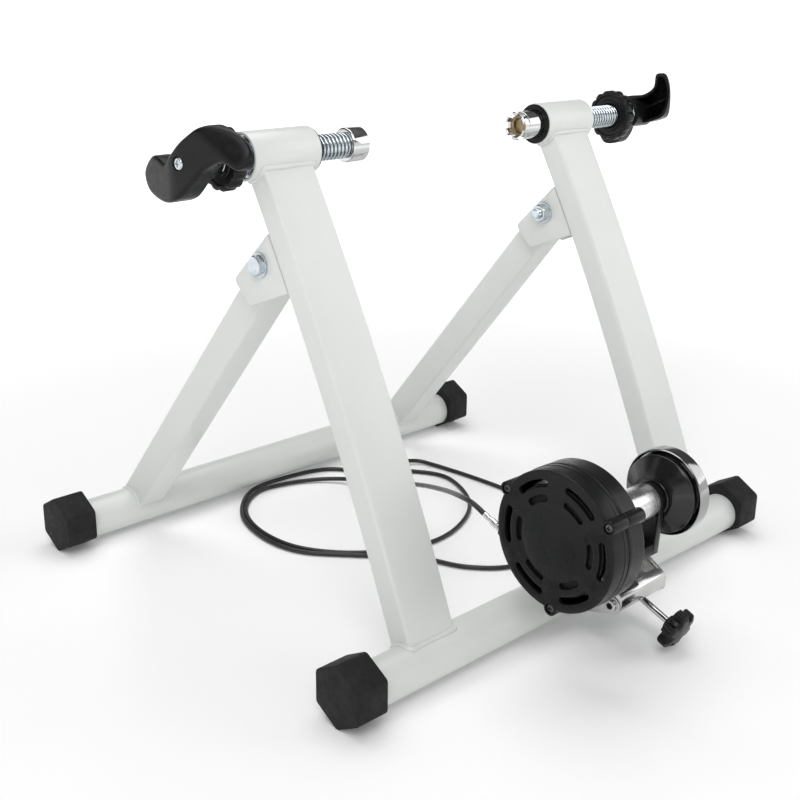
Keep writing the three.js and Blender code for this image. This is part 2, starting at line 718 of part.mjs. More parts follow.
// Zinc-plated frame that swings on the lug: two cheeks, a front web and a sloping top plate
function makeSwingFrame() {
  const half = mountWidth / 2;
  const outline = scaled(cheekOutlineShares, mountReach);
  const body = slab(roundedShape(outline, cheekCornerRadius), -half, half, 3);
  const web = outline[0][0] + mountSheet;
  const [frontTop, backTop] = [outline[1], outline[2]];
  const slope = (backTop[1] - frontTop[1]) / (backTop[0] - frontTop[0]);
  const under = (y) => frontTop[1] + slope * (y - frontTop[0]) - mountSheet * Math.hypot(1, slope);
  const plateEnd = topPlateEndShare * mountReach;
  const pocket = new THREE.Shape([
    [web, -2 * mountReach], [web, under(web)], [plateEnd, under(plateEnd)], [plateEnd, mountReach],
    [mountReach, mountReach], [mountReach, -2 * mountReach],
  ].map(([y, z]) => new THREE.Vector2(y, z)));
  const inner = half - mountSheet;
  const hollow = slab(pocket, -inner, inner);
  const window = box(half - windowInset - windowWidth, half - windowInset,
    windowShares[0] * mountReach, windowShares[1] * mountReach, -mountReach, mountReach);
  const pinHole = bar(swingPinRadius + gap, -half - overrun, half + overrun, smallSides);
  const screwHole = bar(blockScrewRadius + gap, -half - overrun, half + overrun, smallSides)
    .translate(0, -blockForward, -blockDrop);
  const rodHole = rodBar(rodRadius + gap, mountReach).translate(0, -blockForward, -blockDrop);
  put('swing_frame', cut(body, hollow, window, pinHole, screwHole, rodHole), zinc,
    mountCentre, swingY, swingHeight);
}

// Round bar about the rod's axis, reaching the same way on both sides of the origin
function rodBar(radius, reach) {
  return bar(radius, -reach, reach, smallSides).rotateZ(-Math.PI / 2).rotateX(radians(rodTilt));
}

function makeSwingPin() {
  const half = mountWidth / 2 + gap;
  const end = half + swingPinHeadHeight;
  const shank = bar(swingPinRadius, -end, half + gap, smallSides);
  const head = bar(swingPinHead, half, end, hexSides);
  put('swing_pin', join(head, shank), zinc, mountCentre, swingY, swingHeight);
  const nut = bar(swingPinHead, -end, -half, hexSides);
  const bore = bar(swingPinRadius + gap, -end - overrun, -half + overrun, smallSides);
  put('swing_pin_nut', cut(nut, bore), zinc, mountCentre, swingY, swingHeight);
}

// Threaded cross bar between the cheeks, with the adjusting rod through it
function makeAdjuster() {
  const half = mountWidth / 2 - mountSheet - gap;
  const y = swingY - blockForward;
  const z = swingHeight - blockDrop;
  const tapped = join(
    bar(blockScrewRadius + gap, -half - overrun, -half + blockScrewDepth, smallSides),
    bar(blockScrewRadius + gap, half - blockScrewDepth, half + overrun, smallSides));
  put('rod_block', cut(bar(blockRadius, -half, half), tapped, rodBar(rodRadius + gap, 2 * blockRadius)), zinc,
    mountCentre, y, z);
  for (const side of sides) {
    const outer = mountWidth / 2 + gap;
    const shank = bar(blockScrewRadius, half - blockScrewDepth + gap, outer + gap, smallSides);
    const head = bar(blockScrewHead, outer, outer + blockScrewHeadHeight, hexSides);
    const screw = put(`block_screw_${side.name}`, join(head, shank), zinc, mountCentre, y, z);
    screw.rotation.z = side.sign > 0 ? 0 : Math.PI;
  }
  const along = new THREE.Quaternion().setFromUnitVectors(new THREE.Vector3(1, 0, 0), rodAxis);
  const tip = -rodTipReach;
  const rod = put('adjusting_rod', bar(rodRadius, tip, tip + rodLength, smallSides), zinc, mountCentre, y, z);
  rod.quaternion.copy(along);
  const shape = lobedShape(knobRadius, knobLobes, knobLobeDepth, 8);
  const grip = slab(shape, 0, knobThickness);
  const dome = turned([[0, knobThickness / 2], [knobRadius - knobLobeDepth - knobDome / 2, knobThickness / 2],
    [knobRadius - knobLobeDepth - knobDome / 2, knobThickness],
    [knobRadius / 2, knobThickness + knobDome * knobDomeShare], [0, knobThickness + knobDome]], smallSides);
  const socket = bar(rodRadius + gap, -overrun, knobSocket, smallSides);
  const knob = put('adjusting_knob', cut(join(grip, dome), socket), plastic, mountCentre, y, z);
  knob.quaternion.copy(along);
  const seat = tip + rodLength - knobSocket + gap;
  knob.position.addScaledVector(rodAxis, seat);
}

// Cast bracket between the swing frame and the roller's shaft
function makeRollerBracket() {
  const up = unitHeight;
  const rightArm = rollerEnd + gap;
  const leftArm = housingBack + gap;
  const armShape = (bossRadius) => {
    const shape = new THREE.Shape();
    const foot = armFootWidth / 2;
    shape.moveTo(foot, -armDrop);
    shape.lineTo(bossRadius, 0);
    shape.absarc(0, 0, bossRadius, 0, Math.PI, false);
    shape.lineTo(-foot, -armDrop);
    shape.closePath();
    return shape;
  };
  const right = slab(armShape(armBossRadius), rightArm, rightArm + armThickness, 8);
  const left = slab(armShape(armBossRadius), leftArm, leftArm + armThickness, 8);
  const crossbar = box(leftArm, rightArm + armThickness, -armFootWidth / 2, armFootWidth / 2,
    -armDrop, -armDrop + crossbarHeight);
  const outline = scaled(cheekOutlineShares, mountReach);
  const slope = Math.atan2(outline[2][1] - outline[1][1], outline[2][0] - outline[1][0]);
  const plateMid = new THREE.Vector3(0, (outline[1][0] + topPlateEndShare * mountReach) / 2, 0);
  plateMid.z = outline[1][1] + Math.tan(slope) * (plateMid.y - outline[1][0]);
  const seat = plateMid.clone().add(new THREE.Vector3(0, swingY - unitY, swingHeight - up));
  const footLength = topPlateEndShare * mountReach - outline[1][0];
  const foot = box(columnOffset, columnOffset + columnWidth, -footLength / 2, footLength / 2,
    gap, footThickness + gap).rotateX(slope).translate(0, seat.y, seat.z);
  const columnBase = seat.z + footThickness;
  const column = slab(new THREE.Shape([
    new THREE.Vector2(seat.y - columnDepth / 2, columnBase),
    new THREE.Vector2(seat.y + columnDepth / 2, columnBase),
    new THREE.Vector2(armFootWidth / 2, -armDrop + crossbarHeight / 2),
    new THREE.Vector2(-armFootWidth / 2, -armDrop + crossbarHeight / 2),
  ]), columnOffset, columnOffset + columnWidth);
  const bore = bar(bearingRadius + gap, leftArm - overrun, rightArm + armThickness + overrun);
  const bracket = cut(join(right, left, crossbar, foot, column), bore);
  put('roller_bracket', bracket, plastic, 0, unitY, unitHeight);
  for (const [name, x] of [['left', leftArm], ['right', rightArm]]) {
    const bearing = pipe(bearingRadius, shaftRadius + gap, 0, armThickness, smallSides);
    put(`${name}_bearing`, bearing, steel, x, unitY, unitHeight);
  }
}

function makeRoller() {
  put('roller_shaft', bar(shaftRadius, shaftStart, shaftEnd, smallSides), steel, 0, unitY, unitHeight);
  put('roller', pipe(rollerRadius, shaftRadius + gap, rollerStart, rollerEnd), steel, 0, unitY, unitHeight);
  const bore = shaftRadius + gap;
  put('flywheel_hub', turned([
    [bore, hubStart], [hubNoseRadius, hubStart], [hubRadius, hubStart + hubCone], [hubRadius, hubEnd],
    [hubRadius - hubWeb / 2, hubEnd], [hubRadius - hubWeb / 2, hubStart + hubCone + hubWeb],
    [hubBossRadius, hubStart + hubCone + hubWeb], [hubBossRadius, hubEnd], [bore, hubEnd], [bore, hubStart],
  ]), plastic, 0, unitY, unitHeight);
  const end = flywheelStart + flywheelWidth;
  const lip = hubRadius + gap;
  put('flywheel_ring', turned([
    [lip, flywheelStart], [flywheelRadius - capBevel, flywheelStart],
    [flywheelRadius, flywheelStart + capBevel],
    [flywheelRadius, end - capBevel], [flywheelRadius - capBevel, end], [lip, end], [lip, flywheelStart],
  ]), chrome, 0, unitY, unitHeight);
}

// Arc-shaped slot through the face of the housing
function slotTool(radius, angle, width, middle) {
  const shape = new THREE.Shape();
  const from = radians(middle - angle / 2);
  const to = radians(middle + angle / 2);
  shape.absarc(0, 0, radius + width / 2, from, to, false);
  shape.absarc(0, 0, radius - width / 2, to, from, true);
  shape.closePath();
  return slab(shape, housingFace - overrun, housingFace + faceWall + gap, slotSteps);
}

function lugPlaces() {
  return Array.from({ length: lugCount }, (unused, index) => {
    const turn = radians(lugStartAngle + index * 360 / lugCount);
    return [housingRadius * Math.cos(turn), housingRadius * Math.sin(turn)];
  });
}

function makeHousing() {
  const rim = housingRadius - shellWall;
  const boreOfBack = bearingRadius;
  const outerCup = turned([
    [0, housingFace], [housingRadius - capBevel, housingFace], [housingRadius, housingFace + capBevel],
    [housingRadius, housingSeam], [rim, housingSeam], [rim, housingFace + faceWall],
    [carrierBossRadius, housingFace + faceWall],
    [carrierBossRadius, housingFace + faceWall + carrierBossLength],
    [0, housingFace + faceWall + carrierBossLength],
  ], housingSides);
  const innerStart = housingSeam + gap;
  const innerCup = turned([
    [rim, innerStart], [housingRadius, innerStart], [housingRadius, housingBack - capBevel],
    [housingRadius - capBevel, housingBack], [boreOfBack, housingBack], [boreOfBack, housingBack - shellWall],
    [rim, housingBack - shellWall], [rim, innerStart],
  ], housingSides);
  const lugs = (from, to) => lugPlaces().map(([y, z]) =>
    bar(lugRadius, from, to, smallSides).translate(0, y, z));
  const holes = (from, to) => lugPlaces().map(([y, z]) =>
    bar(lugScrewRadius + gap, from, to, smallSides).translate(0, y, z));
  const slots = [];
  for (let index = 0; index < slotCount; index += 1) {
    const middle = index * 360 / slotCount;
    slots.push(slotTool(outerSlotRadius, outerSlotAngle, outerSlotWidth, middle));
    slots.push(slotTool(innerSlotRadius, innerSlotAngle, innerSlotWidth, middle));
  }
  const inlet = bar(inletBossRadius, rim, inletBossReach, smallSides).rotateZ(Math.PI / 2)
    .rotateX(radians(ferruleRise)).translate(ferruleX, 0, 0);
  const inletPlace = inletOffset();
  inlet.translate(0, inletPlace.y, inletPlace.z);
  const keepOut = bar(rim, housingFace + faceWall, housingSeam + overrun, housingSides);
  const wireHole = bar(ferruleRadius / 2, rim - 2 * overrun, inletBossReach + overrun, smallSides)
    .rotateZ(Math.PI / 2).rotateX(radians(ferruleRise)).translate(ferruleX, inletPlace.y, inletPlace.z);
  const [firstLug, ...otherLugs] = lugs(housingFace, housingSeam);
  const keep = cut(join(firstLug, ...otherLugs, inlet), keepOut);
  const outerHoles = holes(housingFace - overrun, housingSeam + overrun);
  const outer = cut(join(outerCup, keep), ...outerHoles, ...slots, wireHole);
  put('outer_shell', outer, plastic, 0, unitY, unitHeight);
  const clearInner = bar(rim, innerStart - overrun, housingBack - shellWall, housingSides);
  const innerLugs = cut(join(...lugs(innerStart, housingBack)), clearInner);
  const inner = cut(join(innerCup, innerLugs), ...holes(innerStart - overrun, housingBack + overrun));
  put('inner_shell', inner, plastic, 0, unitY, unitHeight);
  lugPlaces().forEach(([y, z], index) => {
    const screw = turned([
      [0, housingFace - gap - lugScrewHeadHeight], [lugScrewHead, housingFace - gap - lugScrewHeadHeight],
      [lugScrewHead, housingFace - gap], [lugScrewRadius, housingFace - gap],
      [lugScrewRadius, housingBack - overrun], [0, housingBack - overrun],
    ], smallSides);
    put(`housing_screw_${index + 1}`, screw, zinc, 0, unitY + y, unitHeight + z);
  });
}

// Sideways offset of the cable inlet, so that its axis leaves the rim level with the ferrule
function inletOffset() {
  const share = Math.sin(radians(2 * ferruleRise));
  return new THREE.Vector3(0, housingRadius * share / 8, -housingRadius * share);
}

function magnetDisc(from, to, magnetsTo, bore) {
  const plate = pipe(magnetPlateRadius, bore, Math.min(from, to), Math.max(from, to));
  const magnets = Array.from({ length: magnetCount }, (unused, index) => {
    const turn = 2 * Math.PI * index / magnetCount;
    const ends = [(from + to) / 2, magnetsTo].sort((a, b) => a - b);
    return bar(magnetRadius, ends[0], ends[1], fineSides)
      .translate(0, magnetRing * Math.cos(turn), magnetRing * Math.sin(turn));
  });
  return join(plate, ...magnets);
}

function makeBrake() {
  const carrierStart = housingFace + faceWall + gap;
  const carrierEnd = carrierStart + carrierThickness;
  const carrier = magnetDisc(carrierStart, carrierEnd, carrierEnd + magnetHeight, carrierBossRadius + gap);
  put('magnet_carrier', carrier, magnetGrey, 0, unitY, unitHeight);
  const fixedEnd = housingBack - shellWall - gap;
  const fixedStart = fixedEnd - fixedPlateThickness;
  put('fixed_magnets', magnetDisc(fixedEnd, fixedStart, fixedStart - magnetHeight, bearingRadius + gap),
    magnetGrey, 0, unitY, unitHeight);
  const bore = shaftRadius + gap;
  put('rotor_disc', turned([
    [bore, rotorAt], [rotorRadius, rotorAt], [rotorRadius, rotorAt + rotorThickness],
    [rotorHubRadius, rotorAt + rotorThickness], [rotorHubRadius, rotorAt + rotorHubLength],
    [bore, rotorAt + rotorHubLength], [bore, rotorAt],
  ]), alloy, 0, unitY, unitHeight);
}

// Silver barrel where the cable enters the housing
function makeFerrule() {
  const place = inletOffset();
  const from = inletBossReach + gap;
  const shoulder = from + ferruleShoulder;
  const end = from + ferruleLength;
  const barrel = turned([
    [0, from], [ferruleRadius, from], [ferruleRadius, shoulder],
    [ferruleRadius - ferruleStep, shoulder], [ferruleRadius - ferruleStep, end], [0, end],
  ], smallSides).rotateZ(Math.PI / 2).rotateX(radians(ferruleRise));
  put('cable_ferrule', barrel, steel, ferruleX, unitY + place.y, unitHeight + place.z);
}

// Free stretch of the cable, from the ferrule over the floor to the socket of the remote
function cablePath() {
  const lay = cableDiameter / 2 + cableLift;
  const place = inletOffset();
  const out = new THREE.Vector3(0, Math.cos(radians(ferruleRise)), Math.sin(radians(ferruleRise)));
  const ferruleEnd = new THREE.Vector3(ferruleX, unitY + place.y, unitHeight + place.z)
    .addScaledVector(out, inletBossReach + gap + ferruleLength);
  const along = new THREE.Vector3(Math.cos(radians(remoteTurn)), Math.sin(radians(remoteTurn)), 0);
  const socket = new THREE.Vector3(remoteX, remoteY, remoteThickness / 2);
  const fromSocket = (distance) => socket.clone().addScaledVector(along, -remoteLength / 2 - distance);
  return new THREE.CatmullRomCurve3([
    ferruleEnd.clone().addScaledVector(out, gap),
    ferruleEnd.clone().addScaledVector(out, gap + cableLead * cableDiameter),
    ...cableRouteShares.map(([x, y, z]) =>
      new THREE.Vector3(x * baseSpacing, y * baseSpacing, lay + z * baseSpacing)),
    fromSocket(cableLead * cableDiameter),
    fromSocket(0),
    fromSocket(gap - remoteSocket),
  ]);
}

function makeCable() {
  const section = new THREE.Shape();
  for (let index = 0; index < cableSides; index += 1) {
    const turn = 2 * Math.PI * index / cableSides;
    const point = [Math.cos(turn) * cableDiameter / 2, Math.sin(turn) * cableDiameter / 2];
    if (index === 0) section.moveTo(...point);
    else section.lineTo(...point);
  }
  section.closePath();
  const tube = new THREE.ExtrudeGeometry(section, { steps: cableSteps, extrudePath: cablePath() });
  cordMeshes.add(put('brake_cable', tube, rubber));
  const post = bar(remotePost, remoteThickness - overrun, remoteThickness + remotePostHeight, smallSides)
    .rotateY(-Math.PI / 2);
  const halfLength = remoteLength / 2 - remoteWidth / 2;
  const outline = new THREE.Shape();
  outline.absarc(halfLength, 0, remoteWidth / 2, -Math.PI / 2, Math.PI / 2, false);
  outline.absarc(-halfLength, 0, remoteWidth / 2, Math.PI / 2, 3 * Math.PI / 2, false);
  const bodyOptions = { depth: remoteThickness, bevelEnabled: false, curveSegments: 6 };
  const body = new THREE.ExtrudeGeometry(outline, bodyOptions);
  const socket = bar(cableDiameter / 2 + 2 * gap, -remoteLength, -remoteLength / 2 + remoteSocket, smallSides)
    .translate(0, 0, remoteThickness / 2);
  const remote = put('remote_body', cut(join(body, post), socket), plastic, remoteX, remoteY, 0);
  remote.rotation.z = radians(remoteTurn);
  const arm = new THREE.Shape();
  const armHalf = remoteLeverWidth / 2;
  arm.absarc(0, 0, remotePost + armHalf / 2, Math.PI / 2, 3 * Math.PI / 2, false);
  arm.lineTo(remoteLeverLength - armHalf, -armHalf);
  arm.absarc(remoteLeverLength - armHalf, 0, armHalf, -Math.PI / 2, Math.PI / 2, false);
  arm.closePath();
  const blade = new THREE.ExtrudeGeometry(arm, { ...bodyOptions, depth: remoteLeverThickness });
  const eyeTop = remoteLeverThickness + overrun;
  const eye = bar(remotePost + gap, -overrun, eyeTop, smallSides).rotateY(-Math.PI / 2);
  const lever = put('remote_lever', cut(blade, eye), plastic, remoteX, remoteY, remoteThickness + gap);
  lever.rotation.z = radians(remoteTurn);
  for (const mesh of [remote, lever]) cordMeshes.add(mesh);
}

makeBase('roller', rollerBaseLength, rollerY);
makeBase('brace', braceBaseLength, braceY);
for (const side of sides) {
  makeUpright(side);
  makeSleeve(side);
  makeHingeBracket(side);
  makePivotBolt(side);
  makeLeg(side);
  makeClamp(side);
}
makeLug();
makeSwingFrame();
makeSwingPin();
makeAdjuster();
makeRollerBracket();
makeRoller();
makeHousing();
makeBrake();
makeFerrule();
makeCable();

// The origin is under the middle of the stand's own box, without the cable
stand.updateMatrixWorld(true);
const reachBox = new THREE.Box3();
for (const mesh of stand.children) {
  if (!cordMeshes.has(mesh)) reachBox.expandByObject(mesh, true);
}
const middle = reachBox.getCenter(new THREE.Vector3());
stand.position.set(-middle.x, -middle.y, -reachBox.min.z);

export default stand;
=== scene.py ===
"""Looks of a folding indoor bicycle trainer stand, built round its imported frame."""
import json
import math

import bmesh
import bpy
from mathutils import Matrix, Vector
from mathutils.geometry import delaunay_2d_cdt

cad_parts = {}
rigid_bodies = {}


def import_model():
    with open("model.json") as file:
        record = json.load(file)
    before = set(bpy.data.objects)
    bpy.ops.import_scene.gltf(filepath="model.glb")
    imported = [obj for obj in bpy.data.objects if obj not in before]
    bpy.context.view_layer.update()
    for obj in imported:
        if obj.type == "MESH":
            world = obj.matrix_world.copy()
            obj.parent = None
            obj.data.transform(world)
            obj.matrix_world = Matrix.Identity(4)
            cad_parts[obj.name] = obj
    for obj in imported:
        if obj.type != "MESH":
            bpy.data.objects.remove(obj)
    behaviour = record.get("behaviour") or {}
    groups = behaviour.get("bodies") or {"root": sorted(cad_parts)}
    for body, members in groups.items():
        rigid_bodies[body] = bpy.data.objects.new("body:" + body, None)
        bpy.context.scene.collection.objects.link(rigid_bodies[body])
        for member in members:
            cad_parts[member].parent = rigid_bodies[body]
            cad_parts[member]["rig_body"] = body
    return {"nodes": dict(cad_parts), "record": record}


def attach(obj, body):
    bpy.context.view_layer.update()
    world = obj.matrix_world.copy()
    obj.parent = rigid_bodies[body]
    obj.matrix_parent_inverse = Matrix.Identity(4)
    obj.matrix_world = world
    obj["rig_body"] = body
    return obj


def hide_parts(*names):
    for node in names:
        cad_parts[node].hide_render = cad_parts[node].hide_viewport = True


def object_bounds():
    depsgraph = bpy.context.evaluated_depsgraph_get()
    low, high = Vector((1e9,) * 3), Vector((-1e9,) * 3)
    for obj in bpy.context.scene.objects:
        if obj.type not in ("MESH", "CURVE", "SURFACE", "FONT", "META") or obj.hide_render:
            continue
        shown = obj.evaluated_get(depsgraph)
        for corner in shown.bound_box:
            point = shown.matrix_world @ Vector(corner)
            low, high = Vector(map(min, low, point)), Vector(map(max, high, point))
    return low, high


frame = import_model()
CAD_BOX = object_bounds()

# Sizes in millimetres, in the drawing's own frame; the shift takes them to the shared frame
SHIFT = Vector((-23.925, 49.4, 0.0))
MM = 0.001
TURN = 2 * math.pi
# Gap between moving pieces, and the small one at welded seats
GAP, SEAT = 0.3, 0.05
BASE_SPACING = 413.4
ROLLER_Y, BRACE_Y = -BASE_SPACING / 2, BASE_SPACING / 2
TUBE_R, TUBE_WALL = 19.0, 1.8
HEX_SIDES = 6
CAP_FLATS, CAP_CORNER = 49.0, 3.0
CAP_CENTRE_Z = CAP_FLATS / math.sqrt(3) - CAP_CORNER / 2 * math.tan(math.pi / HEX_SIDES)
CAP_DROP = 4.0
TUBE_Z = CAP_CENTRE_Z - CAP_DROP
BARE_END = 5.3
UPRIGHT_SPACING, UPRIGHT_WIDTH, UPRIGHT_DEPTH, UPRIGHT_BOW = 352.0, 50.5, 23.0, 8.7
SHEET, SHEET_CORNER = 1.6, 3.0
SLEEVE_Y, SLEEVE_Z = ROLLER_Y + 185.0, 403.0
SLEEVE_R, SLEEVE_WALL, SLEEVE_LENGTH = 19.5, 2.2, 66.7
SLEEVE_END = UPRIGHT_SPACING / 2 + SLEEVE_LENGTH / 2
PIVOT_Y, PIVOT_Z = ROLLER_Y + 175.7035, 316.8153
LEG_WIDTH, LEG_DEPTH, LEG_SPACING, LEG_SPLAY, LEG_TOP = 28.0, 31.0, 350.0, 5.7, 10.5
THREAD_R, THREAD_DEPTH, SPINDLE_PITCH = 11.0, 1.7, 4.0
# Radii of bolts, pins and screws, whose holes are a gap wider
BOLT_R, SHAFT_R, PIN_R, STUB_R, ROD_R, SHANK_R, BLOCK_SCREW_R = 5.0, 5.0, 4.0, 9.0, 3.0, 1.8, 2.4
# Sides of turned pieces, by how large they show
FINE, ROUND, SMALL = 96, 48, 32
MOUNT_X, SWING_Y, SWING_Z, SWING_HALF = 12.0, ROLLER_Y - 31.3, 66.0, 32.0
BLOCK_Y, BLOCK_Z = SWING_Y - 32.0, SWING_Z - 27.0
ROD_TILT, ROD_TIP, ROD_LENGTH, KNOB_SOCKET = math.radians(21), -27.15, 73.35, 9
UNIT_Y, UNIT_Z = ROLLER_Y - 65.3, 126.0
HOUSING_R, HOUSING_FACE, HOUSING_SEAM, HOUSING_BACK, HOUSING_WALL = 58.0, -107.0, -88.0, -67.7, 2.5
SCREW_SINK = 3.0
FERRULE_X, FERRULE_RISE = -94.0, math.radians(21)
INLET_REACH, FERRULE_LENGTH = 64.0, 20.4
REMOTE_X, REMOTE_Y, REMOTE_TURN = 0.1984 * BASE_SPACING, 0.2419 * BASE_SPACING, math.radians(226)
SIDES = (("left", -1), ("right", 1))
CLAMPS = {"left": dict(mouth=85.0, radius=14.5, length=18.0, knob_at=SLEEVE_END + 11.0,
                       lever_at=SLEEVE_END + 26.65, turn=0.0),
          "right": dict(mouth=113.0, radius=13.3, length=45.0, knob_at=SLEEVE_END + 48.65,
                        lever_at=SLEEVE_END + 82.0, turn=math.radians(126))}


def add(name, data):
    """Links a new object of some data to the scene."""
    made = bpy.data.objects.new(name, data)
    bpy.context.scene.collection.objects.link(made)
    return made


# Camera
def make_camera():
    """Camera of the photograph, from its measured place and lens."""
    target = (Vector((-13.08, 0, 149.66)) + SHIFT) * MM
    azimuth, elevation, roll = math.radians(-43.67), math.radians(19.31), math.radians(0.70)
    back = Vector((math.sin(azimuth) * math.cos(elevation), -math.cos(azimuth) * math.cos(elevation),
                   math.sin(elevation)))
    right = (-back).cross(Vector((0, 0, 1))).normalized()
    up = right.cross(-back)
    right, up = (math.cos(roll) * right + math.sin(roll) * up,
                 -math.sin(roll) * right + math.cos(roll) * up)
    data = bpy.data.cameras.new("camera")
    data.sensor_width = 36
    data.lens = 55.41
    camera = add("camera", data)
    place = Matrix((right, up, back)).transposed().to_4x4()
    distance = 1.19177
    place.translation = target + back * distance
    camera.matrix_world = place
    bpy.context.scene.camera = camera


make_camera()


# Finishes
def fill(tree, node, inputs):
    """Gives a node's inputs, by name or number, their values or links them to other nodes' outputs."""
    for key, value in inputs.items():
        if isinstance(value, bpy.types.NodeSocket):
            tree.links.new(value, node.inputs[key])
        else:
            node.inputs[key].default_value = value
    return node


def new_node(tree, kind, inputs, **settings):
    node = tree.nodes.new(f"ShaderNode{kind}")
    for key, value in settings.items():
        setattr(node, key, value)
    return fill(tree, node, inputs)


def ranged(tree, value, *limits):
    """Node that maps a value from one range to another, given as four limits."""
    return new_node(tree, "MapRange", dict(enumerate((value, *limits))))


def finish(name, color, rough, metal, tint, uneven=(0.08, 200), bump=(0.1, 900, 0.2), speck=None,
           stretch=(1, 1, 1), coat=0.0, specular=0.5):
    """Procedural finish: mottled colour, uneven roughness, fine bump and optional specks of wear.

    tint is a second colour with the scale and strength of its mottling, uneven the spread and scale
    of the roughness, bump a strength, scale and height in mm, speck a colour, threshold and scale.
    """
    material = bpy.data.materials.new(name)
    material.use_nodes = True
    tree = material.node_tree
    coords = new_node(tree, "TexCoord", {})
    mapping = new_node(tree, "Mapping", {"Vector": coords.outputs["Object"], "Scale": stretch})

    def noise(scale, detail=4.0):
        inputs = {"Vector": mapping.outputs["Vector"], "Scale": scale, "Detail": detail}
        return new_node(tree, "TexNoise", inputs).outputs["Fac"]

    def mix(factor, a, b):
        return new_node(tree, "Mix", {0: factor, 6: a, 7: b}, data_type="RGBA").outputs[2]
    other, tint_scale, tint_amount = tint
    share = ranged(tree, noise(tint_scale), 0.35, 0.65, 0.0, tint_amount).outputs[0]
    shade = mix(share, (*color, 1), (*other, 1))
    if speck:
        worn, level, speck_scale = speck
        share = ranged(tree, noise(speck_scale, 6.0), level, level + 0.06, 0.0, 0.55).outputs[0]
        shade = mix(share, shade, (*worn, 1))
    spread, rough_scale = uneven
    roughness = ranged(tree, noise(rough_scale), 0.3, 0.7, max(rough - spread, 0.02), rough + spread)
    strength, bump_scale, height = bump
    relief = new_node(tree, "Bump", {"Strength": strength, "Distance": height * MM,
                                     "Height": noise(bump_scale, 3.0)})
    fill(tree, tree.nodes["Principled BSDF"], {
        "Base Color": shade, "Metallic": metal, "Roughness": roughness.outputs[0],
        "Normal": relief.outputs["Normal"], "Coat Weight": coat, "Coat Roughness": 0.15,
        "Specular IOR Level": specular})
    return material


LOOKS = {
    "white_paint": dict(
        color=(0.675, 0.695, 0.675), rough=0.36, metal=0, tint=((0.645, 0.665, 0.65), 22, 0.5),
        uneven=(0.06, 90), bump=(0.16, 1500, 0.12), speck=((0.53, 0.54, 0.52), 0.73, 260), coat=0.15),
    "cap_rubber": dict(
        color=(0.011, 0.011, 0.0115), rough=0.66, metal=0, tint=((0.019, 0.019, 0.019), 70, 0.8),
        bump=(0.3, 1400, 0.3), speck=((0.14, 0.135, 0.12), 0.70, 330), specular=0.20),
    "black_plastic": dict(
        color=(0.0045, 0.0046, 0.005), rough=0.33, metal=0, tint=((0.008, 0.0083, 0.009), 50, 0.6),
        uneven=(0.08, 160), bump=(0.16, 2400, 0.10), speck=((0.02, 0.02, 0.021), 0.74, 420), specular=0.23),
    "zinc": dict(
        color=(0.58, 0.63, 0.66), rough=0.21, metal=1, tint=((0.46, 0.52, 0.57), 150, 0.6),
        uneven=(0.06, 300), bump=(0.06, 900, 0.08), speck=((0.48, 0.46, 0.40), 0.74, 300)),
    "chrome": dict(
        color=(0.60, 0.60, 0.605), rough=0.09, metal=1, tint=((0.48, 0.48, 0.485), 35, 0.6),
        uneven=(0.04, 130), bump=(0.05, 500, 0.1)),
    "steel": dict(
        color=(0.72, 0.722, 0.725), rough=0.26, metal=1, tint=((0.60, 0.603, 0.608), 60, 0.5),
        uneven=(0.07, 90), bump=(0.10, 160, 0.05), stretch=(30, 1, 1)),
    "alloy": dict(
        color=(0.70, 0.705, 0.71), rough=0.32, metal=1, tint=((0.54, 0.545, 0.55), 90, 0.6),
        uneven=(0.1, 180), bump=(0.15, 700, 0.2)),
    # Near black: the magnets' own dark colour, darkened further as painted shade for the inside of the
    # housing seen through the slots
    "magnet_grey": dict(
        color=(0.005, 0.005, 0.006), rough=0.6, metal=0, tint=((0.012, 0.012, 0.013), 120, 0.3),
        bump=(0.3, 1100, 0.2), specular=0.25),
    "cable_sheath": dict(
        color=(0.012, 0.012, 0.013), rough=0.36, metal=0, tint=((0.022, 0.022, 0.023), 90, 0.7),
        bump=(0.2, 1300, 0.2), speck=((0.10, 0.10, 0.10), 0.74, 500)),
    "brass": dict(
        color=(0.34, 0.26, 0.15), rough=0.34, metal=1, tint=((0.17, 0.135, 0.09), 300, 0.8),
        bump=(0.2, 1200, 0.2)),
    # Darker metal for the spindles' thread roots: painted shade in the thread valleys
    "thread_root_painted_shade": dict(
        color=(0.13, 0.155, 0.18), rough=0.40, metal=1, tint=((0.08, 0.095, 0.11), 260, 0.7),
        bump=(0.15, 1200, 0.2)),
    "plated_sheet": dict(
        color=(0.56, 0.56, 0.555), rough=0.19, metal=1, tint=((0.46, 0.46, 0.455), 45, 0.6),
        uneven=(0.06, 110), bump=(0.05, 420, 0.1), speck=((0.45, 0.45, 0.44), 0.75, 260)),
    "ring_chrome": dict(
        color=(0.36, 0.36, 0.365), rough=0.12, metal=1, tint=((0.28, 0.28, 0.285), 35, 0.6),
        uneven=(0.04, 130), bump=(0.05, 500, 0.1)),
    "gloss_black": dict(
        color=(0.006, 0.006, 0.0065), rough=0.18, metal=0, tint=((0.011, 0.011, 0.012), 60, 0.6),
        uneven=(0.05, 150), bump=(0.08, 1500, 0.1), speck=((0.06, 0.06, 0.06), 0.75, 500)),
    # Dark metal of the housing screws, also used as painted shade inside the block screws' hex sockets
    "dark_screw_and_socket_shade": dict(
        color=(0.09, 0.09, 0.092), rough=0.32, metal=1, tint=((0.16, 0.16, 0.165), 260, 0.7),
        bump=(0.12, 1100, 0.2)),
}
FINISHES = {name: finish(name, **look) for name, look in LOOKS.items()}


